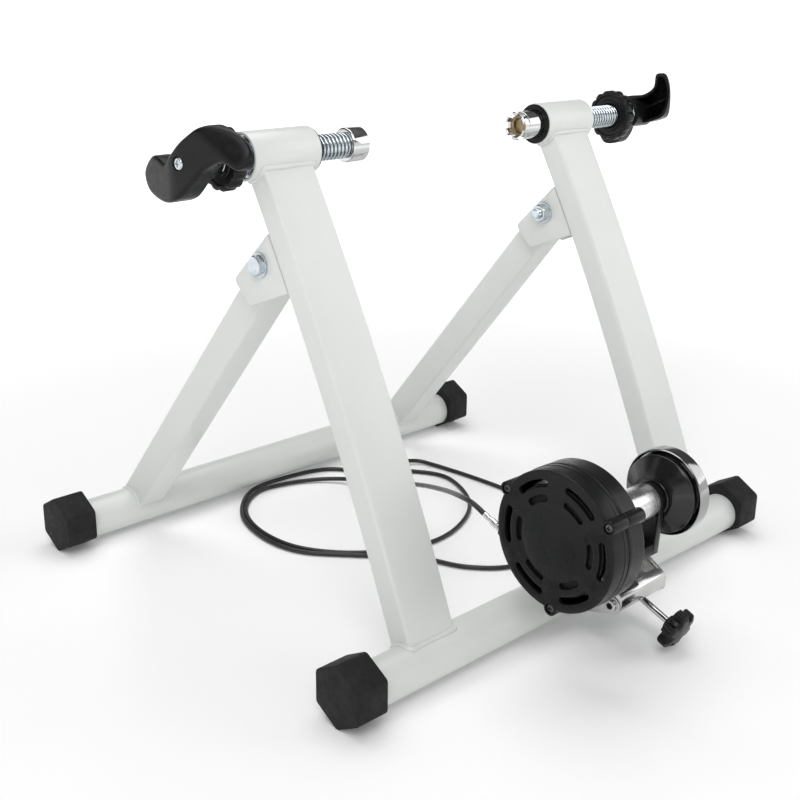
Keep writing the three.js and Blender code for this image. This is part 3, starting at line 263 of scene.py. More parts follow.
# Mesh tools
def clean(mesh, merge=0.0, flatten=0.0):
    """Joins points closer than merge, dissolves bends below flatten, and turns the faces outwards."""
    editor = bmesh.new()
    editor.from_mesh(mesh)
    if merge:
        bmesh.ops.remove_doubles(editor, verts=editor.verts, dist=merge)
    if flatten:
        bmesh.ops.dissolve_limit(editor, angle_limit=flatten, verts=editor.verts, edges=editor.edges)
    bmesh.ops.recalc_face_normals(editor, faces=editor.faces)
    editor.to_mesh(mesh)
    editor.free()


def new_object(verts, faces):
    mesh = bpy.data.meshes.new("piece")
    mesh.from_pydata([tuple(v) for v in verts], [], [tuple(f) for f in faces])
    mesh.update()
    clean(mesh, 1e-5)
    return add("piece", mesh)


def settle(thing):
    """Applies the modifiers of an object."""
    bpy.context.view_layer.update()
    graph = bpy.context.evaluated_depsgraph_get()
    mesh = bpy.data.meshes.new_from_object(thing.evaluated_get(graph))
    thing.modifiers.clear()
    old = thing.data
    thing.data = mesh
    bpy.data.meshes.remove(old)
    return thing


def combine(operation, thing, tools):
    """Exact boolean of an object with tools, which are used up."""
    for tool in tools:
        modifier = thing.modifiers.new("cut", "BOOLEAN")
        modifier.operation = operation
        modifier.solver = "EXACT"
        modifier.object = tool
    settle(thing)
    for tool in tools:
        bpy.data.objects.remove(tool)
    return thing


def cut(thing, *tools):
    return combine("DIFFERENCE", thing, tools)


def join(thing, *tools):
    return combine("UNION", thing, tools)


def bevel(thing, width, segments=2, angle=35):
    modifier = thing.modifiers.new("bevel", "BEVEL")
    modifier.width = width
    modifier.segments = segments
    modifier.limit_method = "ANGLE"
    modifier.angle_limit = math.radians(angle)
    return settle(thing)


def shape(thing, matrix):
    thing.data.transform(matrix)
    return thing


def polar(radius, angle):
    return Vector((radius * math.cos(angle), radius * math.sin(angle)))


def circle(radius, sides, start=0.0):
    return [polar(radius, start + TURN * i / sides) for i in range(sides)]


def spans(knots):
    """Every span of a line of knots with its two neighbours, as four points."""
    padded = [knots[0] * 2 - knots[1], *knots, knots[-1] * 2 - knots[-2]]
    return [padded[i:i + 4] for i in range(len(knots) - 1)]


def bands(rows, count, joined=False):
    """Quads between rows of count points; joined adds the band from the last row to the first."""
    faces = []
    for i in range(rows if joined else rows - 1):
        a, b = i * count, (i + 1) % rows * count
        for k in range(count):
            n = (k + 1) % count
            faces.append((a + k, a + n, b + n, b + k))
    return faces


def skin(rows, joined=False):
    """Body from rows of points, joined end to end as a ring, or else capped at both ends."""
    count = len(rows[0])
    faces = bands(len(rows), count, joined)
    if not joined:
        faces += [range(count), range((len(rows) - 1) * count, len(rows) * count)]
    return new_object([p for row in rows for p in row], faces)


def lathe(rings, sides=64, ripple=None, closed=False):
    """Turned body about X from rings (radius, x, amount of ripple); closed joins its two ends."""
    rows = []
    for radius, x, *amount in rings:
        row = []
        for k in range(sides):
            angle = TURN * k / sides
            reach = radius - (amount[0] * ripple(x, angle) if ripple and amount else 0.0)
            row.append((x, reach * math.cos(angle), reach * math.sin(angle)))
        rows.append(row)
    return skin(rows, joined=closed)


def filleted(profile, radius, steps=3, closed=False):
    """Profile of (radius, x) pairs with its corners rounded; a pair may carry its own corner radius."""
    points = [Vector(p[:2]) for p in profile]
    own = [p[2] if len(p) > 2 else radius for p in profile]
    out = []
    count = len(points)
    for i, corner in enumerate(points):
        lead, trail = points[i - 1] - corner, points[(i + 1) % count] - corner
        plain = own[i] <= 0 or (not closed and i in (0, count - 1)) or min(lead.length, trail.length) < 1e-6
        if plain or abs(lead.normalized().dot(trail.normalized())) > 0.999:
            out.append((corner.x, corner.y))
            continue
        trim = min(own[i], lead.length * 0.45, trail.length * 0.45)
        start, end = corner + lead.normalized() * trim, corner + trail.normalized() * trim
        for s in range(steps + 1):
            t = s / steps
            p = start * (1 - t) ** 2 + corner * 2 * t * (1 - t) + end * t ** 2
            out.append((p.x, p.y))
    return out


def turned(profile, edge, sides, steps=3, closed=False):
    """Turned body of a profile with rounded corners."""
    return lathe(filleted(profile, edge, steps, closed), sides, closed=closed)


def pipe(outer, inner, x0, x1, edge=0.5, sides=FINE, steps=3):
    return turned([(inner, x0), (outer, x0), (outer, x1), (inner, x1)], edge, sides, steps, closed=True)


def moved_in(points, wall):
    """Closed outline moved inwards by a wall."""
    pts = [Vector(p) for p in points]
    area = sum(a.cross(b) for a, b in zip(pts, pts[1:] + pts[:1]))
    sign = 1 if area > 0 else -1
    out = []
    for i, p in enumerate(pts):
        along = (pts[(i + 1) % len(pts)] - pts[i - 1]).normalized()
        out.append(p + Vector((-along.y, along.x)) * wall * sign)
    return out


def rounded_polygon(points, radius, steps=5):
    return [Vector(p) for p in filleted(points, radius, steps, closed=True)]


def rectangle(width, depth, radius, steps=5):
    x, y = width / 2, depth / 2
    return rounded_polygon([(-x, -y), (x, -y), (x, y), (-x, y)], radius, steps)


def slab(outline, x0, x1, edge=0.0, steps=3):
    """Outline in Y and Z pushed along X, with rounded edges."""
    levels = []
    if edge:
        for s in range(steps + 1):
            t = s / steps * math.pi / 2
            levels.append((edge * (1 - math.sin(t)), x0 + edge * (1 - math.cos(t))))
        levels += [(inset, x1 + x0 - x) for inset, x in reversed(levels)]
    else:
        levels = [(0, x0), (0, x1)]
    return skin([[(x, p.x, p.y) for p in moved_in(outline, inset)] for inset, x in levels])


def block(x0, x1, y0, y1, z0, z1):
    return slab([Vector(p) for p in ((y0, z0), (y1, z0), (y1, z1), (y0, z1))], x0, x1)


def rod(radius, x0, x1, sides=ROUND):
    return lathe([(radius, x0), (radius, x1)], sides)


def at(x=0.0, y=0.0, z=0.0):
    return Matrix.Translation((x, y, z))


def side_place(sign, x, y=SLEEVE_Y, z=SLEEVE_Z, turn=0.0):
    """Place of a piece that is drawn for the right side, at distance x from the middle plane."""
    half_turn = Matrix.Rotation(0 if sign > 0 else math.pi, 4, "Z")
    return at(sign * x, y, z) @ half_turn @ Matrix.Rotation(turn, 4, "X")


def contains(loop, q):
    hit = False
    for a, b in zip(loop, loop[1:] + loop[:1]):
        if (a.y > q.y) != (b.y > q.y) and q.x < (b.x - a.x) * (q.y - a.y) / (b.y - a.y) + a.x:
            hit = not hit
    return hit


NODE_BODY = {name: node["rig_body"] for name, node in frame["nodes"].items()}
NODE_SLOT = {part["node"]: part["material_slot"] for part in frame["record"]["subparts"]}


def hand_over(made, node=None, matrix=None, sharp=32, look=None, name=None, body=None, slot=None):
    """Puts a finished piece in the shared frame, shades it, gives it its body and finish, and hides the CAD
    node it stands for.
    """
    if matrix is not None:
        made.data.transform(matrix)
    made.data.transform(Matrix.Scale(MM, 4) @ Matrix.Translation(SHIFT))
    made.name = name or f"{node}_piece"
    made.data.name = made.name
    clean(made.data)
    made.data.shade_smooth()
    made.data.set_sharp_from_angle(angle=math.radians(sharp))
    slot = slot or NODE_SLOT[node]
    made.data.materials.clear()
    made.data.materials.append(FINISHES[look or slot])
    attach(made, body or NODE_BODY[node])
    if node:
        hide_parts(node)
    return made


def second_finish(made, look, axis, chosen):
    """Gives a placed turned piece another finish where chosen(x, radius about the axis) is true."""
    made.data.materials.append(FINISHES[look])
    for face in made.data.polygons:
        centre = face.center / MM - SHIFT
        if chosen(centre.x, math.hypot(centre.y - axis[0], centre.z - axis[1])):
            face.material_index = 1


def from_cad(node, width, segments=2):
    """Copy of a CAD node's own form with rounded edges."""
    made = add("piece", frame["nodes"][node].data.copy())
    made.data.transform(Matrix.Translation(-SHIFT) @ Matrix.Scale(1 / MM, 4))
    clean(made.data, 0.002, math.radians(0.6))
    return hand_over(bevel(made, width, segments), node)


# Cable
CABLE_D = 4.6
CABLE_LIFT = 0.1
CABLE_LEAD = 3
REMOTE_SOCKET, REMOTE_SOCKET_Z, SOCKET_DEPTH = 29, 7.5, 8
# Points in parts of the base tubes' spacing, their height over the floor last
CABLE_ROUTE = [
    (-0.2104, -0.3725, 0.2847), (-0.0943, -0.1984, 0.2121), (0.0048, -0.029, 0.1396),
    (0.0726, 0.1621, 0.067), (0.1064, 0.2612, 0.0295), (0.1089, 0.3338, 0.0102), (0.0581, 0.4015, 0.0031),
    (-0.029, 0.4451, 0.0007), (-0.1113, 0.4523, 0), (-0.2032, 0.387, 0), (-0.254, 0.2661, 0),
    (-0.2443, 0.1209, 0), (-0.1451, -0.0048, 0), (0.0145, -0.0701, 0), (0.1451, -0.0435, 0),
    (0.2588, 0.0387, 0), (0.3266, 0.1935, 0), (0.2879, 0.2806, 0), (0.1863, 0.3725, 0), (0.1209, 0.4499, 0),
    (0, 0.479, 0), (-0.1209, 0.4693, 0), (-0.2322, 0.3628, 0), (-0.2733, 0.2298, 0), (-0.2588, 0.1113, 0),
    (-0.1742, 0.0048, 0), (-0.0726, -0.1016, 0), (-0.0194, -0.2177, 0), (0.0581, -0.2854, 0),
    (0.1935, -0.2951, 0), (0.3387, -0.1887, 0), (0.3822, -0.0242, 0), (0.3798, 0.1451, 0),
    (0.3713, 0.2225, 0), (0.3616, 0.2794, 0.0007), (0.3462, 0.3171, 0.0035), (0.3084, 0.3326, 0.008),
]


def inlet_offset():
    share = math.sin(2 * FERRULE_RISE)
    return Vector((0, HOUSING_R * share / 8, -HOUSING_R * share))


def inlet_place():
    """Place of the housing's cable inlet, in the roller unit's frame."""
    turn = Matrix.Rotation(FERRULE_RISE, 4, "X") @ Matrix.Rotation(math.pi / 2, 4, "Z")
    return at(FERRULE_X, *inlet_offset().yz) @ turn


def cable_points(per_span=14):
    """The route's smooth centreline, as a centripetal curve through its points."""
    lay = CABLE_D / 2 + CABLE_LIFT
    out = Vector((0, math.cos(FERRULE_RISE), math.sin(FERRULE_RISE)))
    reach = INLET_REACH + GAP + FERRULE_LENGTH
    end = Vector((FERRULE_X, UNIT_Y, UNIT_Z)) + inlet_offset() + out * reach
    along = Vector((math.cos(REMOTE_TURN), math.sin(REMOTE_TURN), 0))
    socket = Vector((REMOTE_X, REMOTE_Y, REMOTE_SOCKET_Z))
    knots = [end + out * GAP, end + out * (GAP + CABLE_LEAD * CABLE_D)]
    knots += [Vector((x * BASE_SPACING, y * BASE_SPACING, lay + z * BASE_SPACING)) for x, y, z in CABLE_ROUTE]
    knots += [socket - along * (REMOTE_SOCKET + d) for d in (CABLE_LEAD * CABLE_D, 0, GAP - SOCKET_DEPTH)]
    points = []
    for p0, p1, p2, p3 in spans(knots):
        d0, d1, d2 = (max((b - a).length ** 0.5, 1e-4) for a, b in ((p0, p1), (p1, p2), (p2, p3)))
        t1 = ((p1 - p0) / d0 - (p2 - p0) / (d0 + d1) + (p2 - p1) / d1) * d1
        t2 = ((p2 - p1) / d1 - (p3 - p1) / (d1 + d2) + (p3 - p2) / d2) * d1
        square, cube = -3 * p1 + 3 * p2 - 2 * t1 - t2, 2 * p1 - 2 * p2 + t1 + t2
        for s in range(per_span):
            t = s / per_span
            points.append(p1 + t1 * t + square * t ** 2 + cube * t ** 3)
    points.append(knots[-1])
    return points


def make_cable():
    """The cable as a curve, the point where it leaves the ferrule, and its length in metres."""
    points = [(p + SHIFT) * MM for p in cable_points()]
    curve = bpy.data.curves.new("brake_cable_piece", "CURVE")
    curve.dimensions = "3D"
    spline = curve.splines.new("POLY")
    spline.points.add(len(points) - 1)
    for point, place in zip(spline.points, points):
        point.co = (*place, 1)
    curve.bevel_depth = CABLE_D / 2 * MM
    curve.bevel_resolution = 5
    curve.use_fill_caps = True
    made = add("brake_cable_piece", curve)
    curve.materials.append(FINISHES["cable_sheath"])
    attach(made, NODE_BODY["brake_cable"])
    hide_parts("brake_cable")
    return made, points[0], sum((b - a).length for a, b in zip(points, points[1:]))


cable, cable_exit, cable_length = make_cable()


# Tubes and their welds
def make_base(name, length, y):
    reach = length / 2 - BARE_END
    tube = pipe(TUBE_R, TUBE_R - TUBE_WALL, -reach, reach)
    hand_over(tube, f"{name}_base_tube", at(0, y, TUBE_Z))
    cap_length, cap_end = 30.5, 5
    for side, sign in SIDES:
        corners = circle(CAP_FLATS / math.sqrt(3), HEX_SIDES, math.pi / 2)
        cap = slab(rounded_polygon(corners, CAP_CORNER, 3), -cap_length, 0, 1.0)
        cut(cap, shape(rod(TUBE_R + GAP, -40, -cap_end, FINE), at(0, 0, -CAP_DROP)))
        hand_over(cap, f"{name}_cap_{side}", side_place(sign, length / 2, y, CAP_CENTRE_Z), sharp=40)


def bow_point(t):
    """Point and upward direction on an upright's axis, in Y and Z."""
    foot, head = Vector((ROLLER_Y, TUBE_Z)), Vector((SLEEVE_Y, SLEEVE_Z))
    chord = (head - foot).normalized()
    middle = (foot + head) / 2 + Vector((-chord.y, chord.x)) * 2 * UPRIGHT_BOW
    point = foot * (1 - t) ** 2 + middle * 2 * t * (1 - t) + head * t ** 2
    along = ((middle - foot) * (1 - t) + (head - middle) * t).normalized()
    return point, along


def dense_rectangle(width, depth, radius, pitch=2.0):
    """Rounded rectangle with points along its straight sides too."""
    corners = rectangle(width, depth, radius, 4)
    out = []
    for a, b in zip(corners, corners[1:] + corners[:1]):
        count = max(1, round((b - a).length / pitch))
        out += [a.lerp(b, i / count) for i in range(count)]
    return out


def bead(name, node, points, outward, radius=2.3, wave=0.3, sides=10):
    """Weld bead round a closed line of points, with ripples along it and a slow change of its width."""
    count = len(points)
    rows = []
    travelled = 0.0
    for i, p in enumerate(points):
        along = (points[(i + 1) % count] - points[i - 1]).normalized()
        side = outward[i].cross(along).normalized()
        normal = along.cross(side).normalized()
        travelled += (p - points[i - 1]).length if i else 0.0
        reach = radius * (1 + 0.10 * math.sin(travelled / 9.0)) + wave * math.sin(travelled * TURN / 3.4)
        angles = [TURN * k / sides for k in range(sides)]
        rows.append([p + side * reach * math.cos(a) + normal * reach * math.sin(a) for a in angles])
    hand_over(skin(rows, joined=True), name=name, body=NODE_BODY[node], slot="white_paint", sharp=60)


def box_tube(width, depth, stations):
    """Rectangular tube of sheet through stations, each a function that places a point of the section."""
    rows = []
    for wall, order in ((0.0, 1), (SHEET, -1)):
        outline = rectangle(width - 2 * wall, depth - 2 * wall, SHEET_CORNER - wall / 2)
        rows += [[station(p) for p in outline] for station in stations][::order]
    return skin(rows, joined=True)


def make_upright(side, sign):
    x, steps = sign * UPRIGHT_SPACING / 2, 40

    def station(t):
        point, along = bow_point(t)
        normal = Vector((-along.y, along.x))
        return lambda p: (x + p.x, *(point + normal * p.y))
    tube = box_tube(UPRIGHT_WIDTH, UPRIGHT_DEPTH, [station(s / steps) for s in range(steps + 1)])
    cut(tube, shape(rod(TUBE_R + SEAT, -200, 200, FINE), at(x, ROLLER_Y, TUBE_Z)),
        shape(rod(SLEEVE_R + SEAT, -200, 200, FINE), at(x, SLEEVE_Y, SLEEVE_Z)))
    hand_over(tube, f"{side}_upright", sharp=40)
    for end, radius, name in ((0, TUBE_R, "foot"), (1, SLEEVE_R, "head")):
        centre, along = bow_point(end)
        along = along if end == 0 else -along
        normal = Vector((-along.y, along.x))
        points, outward = [], []
        for p in dense_rectangle(UPRIGHT_WIDTH, UPRIGHT_DEPTH, SHEET_CORNER):
            flat = centre + normal * p.y + along * math.sqrt(max(radius ** 2 - p.y ** 2, 0))
            points.append(Vector((x + p.x, *flat)))
            away = normal * (p.y / (UPRIGHT_DEPTH / 2))
            outward.append(Vector((p.x / (UPRIGHT_WIDTH / 2), *away)).normalized())
        bead(f"{side}_upright_weld_{name}", f"{side}_upright", points, outward)


def make_sleeve(side, sign):
    half = SLEEVE_LENGTH / 2
    place = side_place(sign, UPRIGHT_SPACING / 2)
    hand_over(pipe(SLEEVE_R, SLEEVE_R - SLEEVE_WALL, -half, half, 0.8), f"{side}_sleeve", place)
    bore = (THREAD_R if sign < 0 else CLAMPS["right"]["radius"]) + GAP
    outer, flange, start, bush_length = SLEEVE_R - SLEEVE_WALL - GAP, SLEEVE_R - 0.9, -half - GAP, 28
    bush = turned([
        (bore, start - 1.5), (bore + 1.6, start - 1.5), (bore + 1.9, start - 0.8),
        (flange - 1.5, start - 0.8), (flange - 1.0, start - 1.5), (flange, start - 1.2), (flange, start),
        (outer, start), (outer, start + bush_length), (bore, start + bush_length)],
        0.35, FINE, 2, closed=True)
    hand_over(bush, f"{side}_sleeve_bush", place)
    nut_end, nut_length = half - 2, 16
    nut = pipe(outer, THREAD_R + GAP, nut_end - nut_length, nut_end, 0.6, 72, 2)
    hand_over(nut, f"{side}_sleeve_nut", place)


def make_leg(side, sign):
    past_tube, short_of_foot = 4.7, 8
    foot = Vector((sign * LEG_SPLAY, BRACE_Y + past_tube - PIVOT_Y, TUBE_Z - PIVOT_Z))
    down = foot.normalized()
    across = (Vector((1, 0, 0)) - down * down.x).normalized()
    back = down.cross(across)
    basis = Matrix((across, back, down)).transposed().to_4x4()
    place = at(sign * LEG_SPACING / 2, PIVOT_Y, PIVOT_Z)
    stations = [lambda p, z=z: (p.x, p.y, z) for z in (-LEG_TOP, foot.length - short_of_foot)]
    tube = shape(box_tube(LEG_WIDTH, LEG_DEPTH, stations), place @ basis)
    cut(tube, shape(rod(TUBE_R + SEAT, -300, 300, FINE), at(0, BRACE_Y, TUBE_Z)),
        shape(rod(BOLT_R + GAP, -60, 60), place))
    hand_over(tube, f"{side}_leg", sharp=40)
    axis = Vector((0, BRACE_Y, TUBE_Z))
    points, outward = [], []
    for p in dense_rectangle(LEG_WIDTH, LEG_DEPTH, SHEET_CORNER):
        start = place @ (across * p.x + back * p.y)
        flat, line = Vector((start.y - axis.y, start.z - axis.z)), Vector((down.y, down.z))
        a, b, c = line.dot(line), flat.dot(line), flat.dot(flat) - TUBE_R ** 2
        root = b * b - a * c
        near = -b / a if root < 0 else (-b - math.sqrt(root)) / a
        points.append(start + down * near)
        outward.append((across * (p.x / LEG_WIDTH) + back * (p.y / LEG_DEPTH)).normalized())
    bead(f"{side}_leg_weld", f"{side}_leg", points, outward, radius=2.1)


# Screws, nuts and threads
def screw_head(radius, height, depth=1.6):
    """Round screw head from x = 0 up, with a cross recess."""
    head = turned([(0.4, 0), (radius, 0, 0), (radius, height * 0.55), (radius * 0.86, height * 0.9),
                   (radius * 0.4, height), (0.4, height)], 0.5, 40)
    long, narrow = radius * 0.55, radius * 0.16
    cut(head, block(height - depth, height + 2, -long, long, -narrow, narrow))
    return cut(head, block(height - depth, height + 2, -narrow, narrow, -long, long))


def hex_head(corner_r, height, washer=0.0, chamfer=1.1):
    """Hexagon head or nut from x = 0 up, with turned corners and a washer under it."""
    washer_height = 1.2
    prism = slab(circle(corner_r, HEX_SIDES, math.pi / 6), washer_height if washer else 0, height)
    combine("INTERSECT", prism, [lathe([
        (corner_r * 1.02, -1), (corner_r * 1.02, height - chamfer), (corner_r * 0.85, height)], ROUND)])
    if washer:
        top = washer_height + 0.02
        join(prism, turned([(0.2, 0), (washer, 0), (washer, top), (0.2, top)], 0.3, ROUND, 2))
    return bevel(prism, 0.18, 2, 30)


def thread(pitch):
    """Ripple of a rounded thread: 0 on its crest and 1 in its root."""
    return lambda x, angle: 0.5 - 0.5 * math.cos(TURN * ((x / pitch - angle / TURN) % 1.0))


def threaded_rings(radius, x0, x1, depth, pitch, per=8, fade=3.0):
    """Rings of a threaded stretch with per rings a turn, whose thread fades at both ends."""
    count = max(2, int((x1 - x0) / pitch * per))
    rings = []
    for i in range(count + 1):
        x = x0 + (x1 - x0) * i / count
        ease = min(1.0, (x - x0) / fade + 0.05, (x1 - x) / fade + 0.05)
        rings.append((radius - depth * 0.35 * (1 - ease), x, depth * ease))
    return rings


def make_pivot(side, sign):
    half = UPRIGHT_WIDTH / 2
    place = side_place(sign, UPRIGHT_SPACING / 2, PIVOT_Y, PIVOT_Z)
    corner_r, washer_r, head_height, nut_height, pitch = 9, 10.6, 6, 8, 1.5
    head = shape(hex_head(corner_r, head_height, washer_r), at(half + GAP))
    inner = -half - GAP - nut_height
    rings = [(3.6, inner - 4), (4.7, inner - 3.2)]
    rings += threaded_rings(BOLT_R, inner - 3, -half + 2, 0.55, pitch, 6, 1.0)
    rings += [(BOLT_R, -half + 3), (BOLT_R, half + GAP + 2)]
    join(head, lathe(rings, SMALL, thread(pitch)))
    hand_over(head, f"{side}_pivot_bolt", place)
    nut = shape(hex_head(corner_r, nut_height, washer_r), Matrix.Rotation(math.pi, 4, "Z"))
    cut(nut, rod(BOLT_R + GAP, -12, 4))
    hand_over(nut, f"{side}_pivot_nut", place @ at(-half - GAP))


# Clamps: cups, spindles, knobs and levers
SLEEVE_AXIS = (SLEEVE_Y, SLEEVE_Z)
LEVER_REACH, LEVER_DEPTH, LEVER_WALL, LEVER_EDGE = 57.0, 34.0, 3.0, 3.4
LEVER_OUTLINE = [
    (-0.32, -0.035), (-0.52, 0.03), (-0.72, 0.01), (-0.92, -0.22), (-0.8, -0.47), (-0.42, -0.57),
    (-0.07, -0.49), (0.19, -0.25), (0.39, -0.05), (0.65, 0.06), (0.88, -0.02), (1.0, 0.13), (0.91, 0.32),
    (0.67, 0.47), (0.38, 0.52), (0.09, 0.35), (-0.14, 0.14),
]
LEVER_CROWN = [(-1.1, 0.84), (-0.1, 1.0), (1.0, 0.4), (1.1, 0.34)]
LEVER_RIM = [(-1.1, 0.5), (-0.4, 0.45), (0.4, 0.3), (1.1, 0.08)]
LEVER_FACET = [(-1.1, 2.9), (1.1, 0.0)]
LEVER_FACET_TURN = math.radians(34)
LEVER_RIDGE = 1.6
LEVER_HUB_R, LEVER_SEAT = 14.0, 24.0


def lever_outline(samples=150, per_span=24):
    """Smooth outline through the lever's points, sharp only at the notch where it starts."""
    knots = [Vector(p) * LEVER_REACH for p in LEVER_OUTLINE]
    knots.append(knots[0])
    points = []
    for p0, p1, p2, p3 in spans(knots):
        for s in range(per_span):
            t = s / per_span
            points.append(0.5 * (2 * p1 + (p2 - p0) * t + (2 * p0 - 5 * p1 + 4 * p2 - p3) * t ** 2
                                 + (3 * p1 - p0 - 3 * p2 + p3) * t ** 3))
    lengths = [0.0]
    for a, b in zip(points, points[1:] + points[:1]):
        lengths.append(lengths[-1] + (b - a).length)
    out = []
    for s in range(samples):
        target = lengths[-1] * s / samples
        i = max(j for j in range(len(points)) if lengths[j] <= target)
        share = (target - lengths[i]) / max(lengths[i + 1] - lengths[i], 1e-9)
        out.append(points[i].lerp(points[(i + 1) % len(points)], share))
    return out


def lever_profile(profile, along, spread=0.0):
    """Height that a lever's profile of shares gives at a place along it, evened out over a spread."""
    def piecewise(share):
        for (a, ha), (b, hb) in zip(profile, profile[1:]):
            if share <= b:
                return ha + (hb - ha) * (share - a) / (b - a)
        return profile[-1][1]
    middle = along / LEVER_REACH
    return LEVER_DEPTH * sum(piecewise(middle + spread * k / 3) for k in range(-3, 4)) / 7


def lever_roof(point):
    """Height of the lever's outer face: its crown, cut by a sloping facet with a soft ridge."""
    crown = lever_profile(LEVER_CROWN, point.x, 0.10)
    slant = point.x * math.cos(LEVER_FACET_TURN) + point.y * math.sin(LEVER_FACET_TURN)
    facet = lever_profile(LEVER_FACET, slant)
    blend = max(LEVER_RIDGE - abs(crown - facet), 0) / LEVER_RIDGE
    return min(crown, facet) - blend * blend * LEVER_RIDGE / 4


def lever_floor(point):
    return lever_profile(LEVER_RIM, point.x, 0.10)


def triangulated(outline, pitch):
    """Points and triangles that fill an outline evenly, the outline's own points first."""
    low, high = ([end(p[i] for p in outline) for i in (0, 1)] for end in (min, max))
    grid = []
    for i in range(int((high[0] - low[0]) / pitch) + 1):
        for j in range(int((high[1] - low[1]) / pitch) + 1):
            place = Vector((low[0] + (i + 0.5 * (j % 2)) * pitch, low[1] + j * pitch))
            if contains(outline, place) and min((place - p).length for p in outline) > pitch * 0.6:
                grid.append(place)
    count = len(outline)
    edges = [(i, (i + 1) % count) for i in range(count)]
    flat, _, triangles, *_ = delaunay_2d_cdt(outline + grid, edges, [list(range(count))], 1, 1e-6)
    return flat, triangles


def crowned(outline, floor, roof, edge, steps):
    """Body between a floor and a roof, each a height over every point, with a rounded upper rim."""
    levels = [[(floor(p), p.x, p.y) for p in outline]]
    for s in range(steps + 1):
        t = s / steps * math.pi / 2
        levels.append([(roof(p) - min(edge, (roof(p) - floor(p)) * 0.45) * (1 - math.sin(t)), p.x, p.y)
                       for p in moved_in(outline, edge * (1 - math.cos(t)))])
    verts = [p for level in levels for p in level]
    faces = bands(len(levels), len(outline))
    for rim, height in ((outline, floor), (moved_in(outline, edge), roof)):
        flat, triangles = triangulated(rim, 2.0)
        start = len(verts)
        verts += [(height(q), q.x, q.y) for q in flat]
        faces += [tuple(start + i for i in t) for t in triangles]
    return new_object(verts, faces)


def make_lever(side, sign, lever_at, turn):
    outline = lever_outline()
    solid = crowned(outline, lever_floor, lever_roof, LEVER_EDGE, 6)
    join(solid, rod(LEVER_HUB_R, 0, LEVER_SEAT + LEVER_WALL))
    inner = moved_in(outline, LEVER_WALL)
    count = len(inner)
    smooth = [sum((inner[(i + k) % count] for k in range(-2, 3)), Vector((0, 0))) / 5 for i in range(count)]
    hollow = crowned(smooth, lambda p: -4.0, lambda p: lever_roof(p) - LEVER_WALL, 1.0, 2)
    below, long, half_rib = -6, LEVER_REACH * 1.2, 1
    cut(hollow, rod(LEVER_HUB_R, below, LEVER_DEPTH + 2))
    for index in range(3):
        rib = block(below, LEVER_DEPTH + 4, -long, long, -half_rib, half_rib)
        cut(hollow, shape(rib, Matrix.Rotation(math.radians(30) + index * math.pi / 3, 4, "X")))
    cut(solid, hollow)
    cut(solid, rod(STUB_R + GAP, -4, LEVER_SEAT))
    cut(solid, lathe([(3.2, 20), (3.2, 30.01), (5.3, 30.02), (5.3, 31.5), (7.0, LEVER_DEPTH + 3)], 40))
    place = side_place(sign, lever_at, turn=turn)
    hand_over(solid, f"{side}_lever", place, sharp=38)
    screw = join(screw_head(5, 2.5), rod(2.9, -18, 0.1, 24))
    hand_over(screw, f"{side}_lever_screw", place @ at(30 + GAP))


def make_lock_knob(side, sign, knob_at):
    lobes, depth, radius, thick, bore = 14, 1.9, 25.0, 12.0, THREAD_R + GAP

    def lobed(x, angle):
        return (1 - abs(math.cos(lobes * angle / 2))) ** 1.3
    half = [(bore, 0.8), (bore + 0.8, 0), (15.4, 0), (16.2, 1.3), (19.6, 1.3), (20.4, 0),
            (radius - 2, 0, depth * 0.6), (radius - 0.7, 0.35, depth), (radius, 1.4, depth)]
    profile = half + [(r, thick - x, *ripple) for r, x, *ripple in reversed(half)]
    knob = lathe(profile, lobes * 18, lobed, closed=True)
    hand_over(knob, f"{side}_lock_knob", side_place(sign, knob_at), sharp=50)


def make_cup(side, sign, mouth, radius, length):
    """Axle cup, plain on the left and on the right with a brass face and six notches in its rim."""
    bore = 7.8
    if sign < 0:
        profile = filleted([
            (0.3, 7), (8.5, 7, 0), (10, 0.6), (10.4, 0), (radius - 1.2, 0), (radius, 1.2),
            (radius, length - 1.2), (radius - 1.2, length), (bore, length), (bore, 9), (0.3, 9)], 0.4)
    else:
        profile = filleted([
            (0.3, 9), (6.5, 9, 0), (7.2, 6.4), (9.6, 6.0), (10.3, 0.6), (10.8, 0), (radius - 0.7, 0),
            (radius, 0.8), (radius, 6.2), (radius - 0.35, 6.6), (radius - 0.35, 7.4), (radius, 7.8),
            (radius, length - 1.5), (radius - 1.4, length), (bore, length), (bore, 11), (0.3, 11)], 0.3)
    cup = lathe(profile, FINE)
    if sign > 0:
        deep, half_notch, brass_r, brass_from, brass_to = 5, 3, 9.7, 5.5, 10
        for index in range(3):
            notch = block(-4, deep, -30, 30, -half_notch, half_notch)
            cut(cup, shape(notch, Matrix.Rotation(index * math.pi / 3, 4, "X")))
    hand_over(cup, f"{side}_cup", side_place(sign, mouth), sharp=30)
    if sign > 0:
        second_finish(cup, "brass", SLEEVE_AXIS,
                      lambda x, r: r < brass_r and brass_from < x - mouth < brass_to)


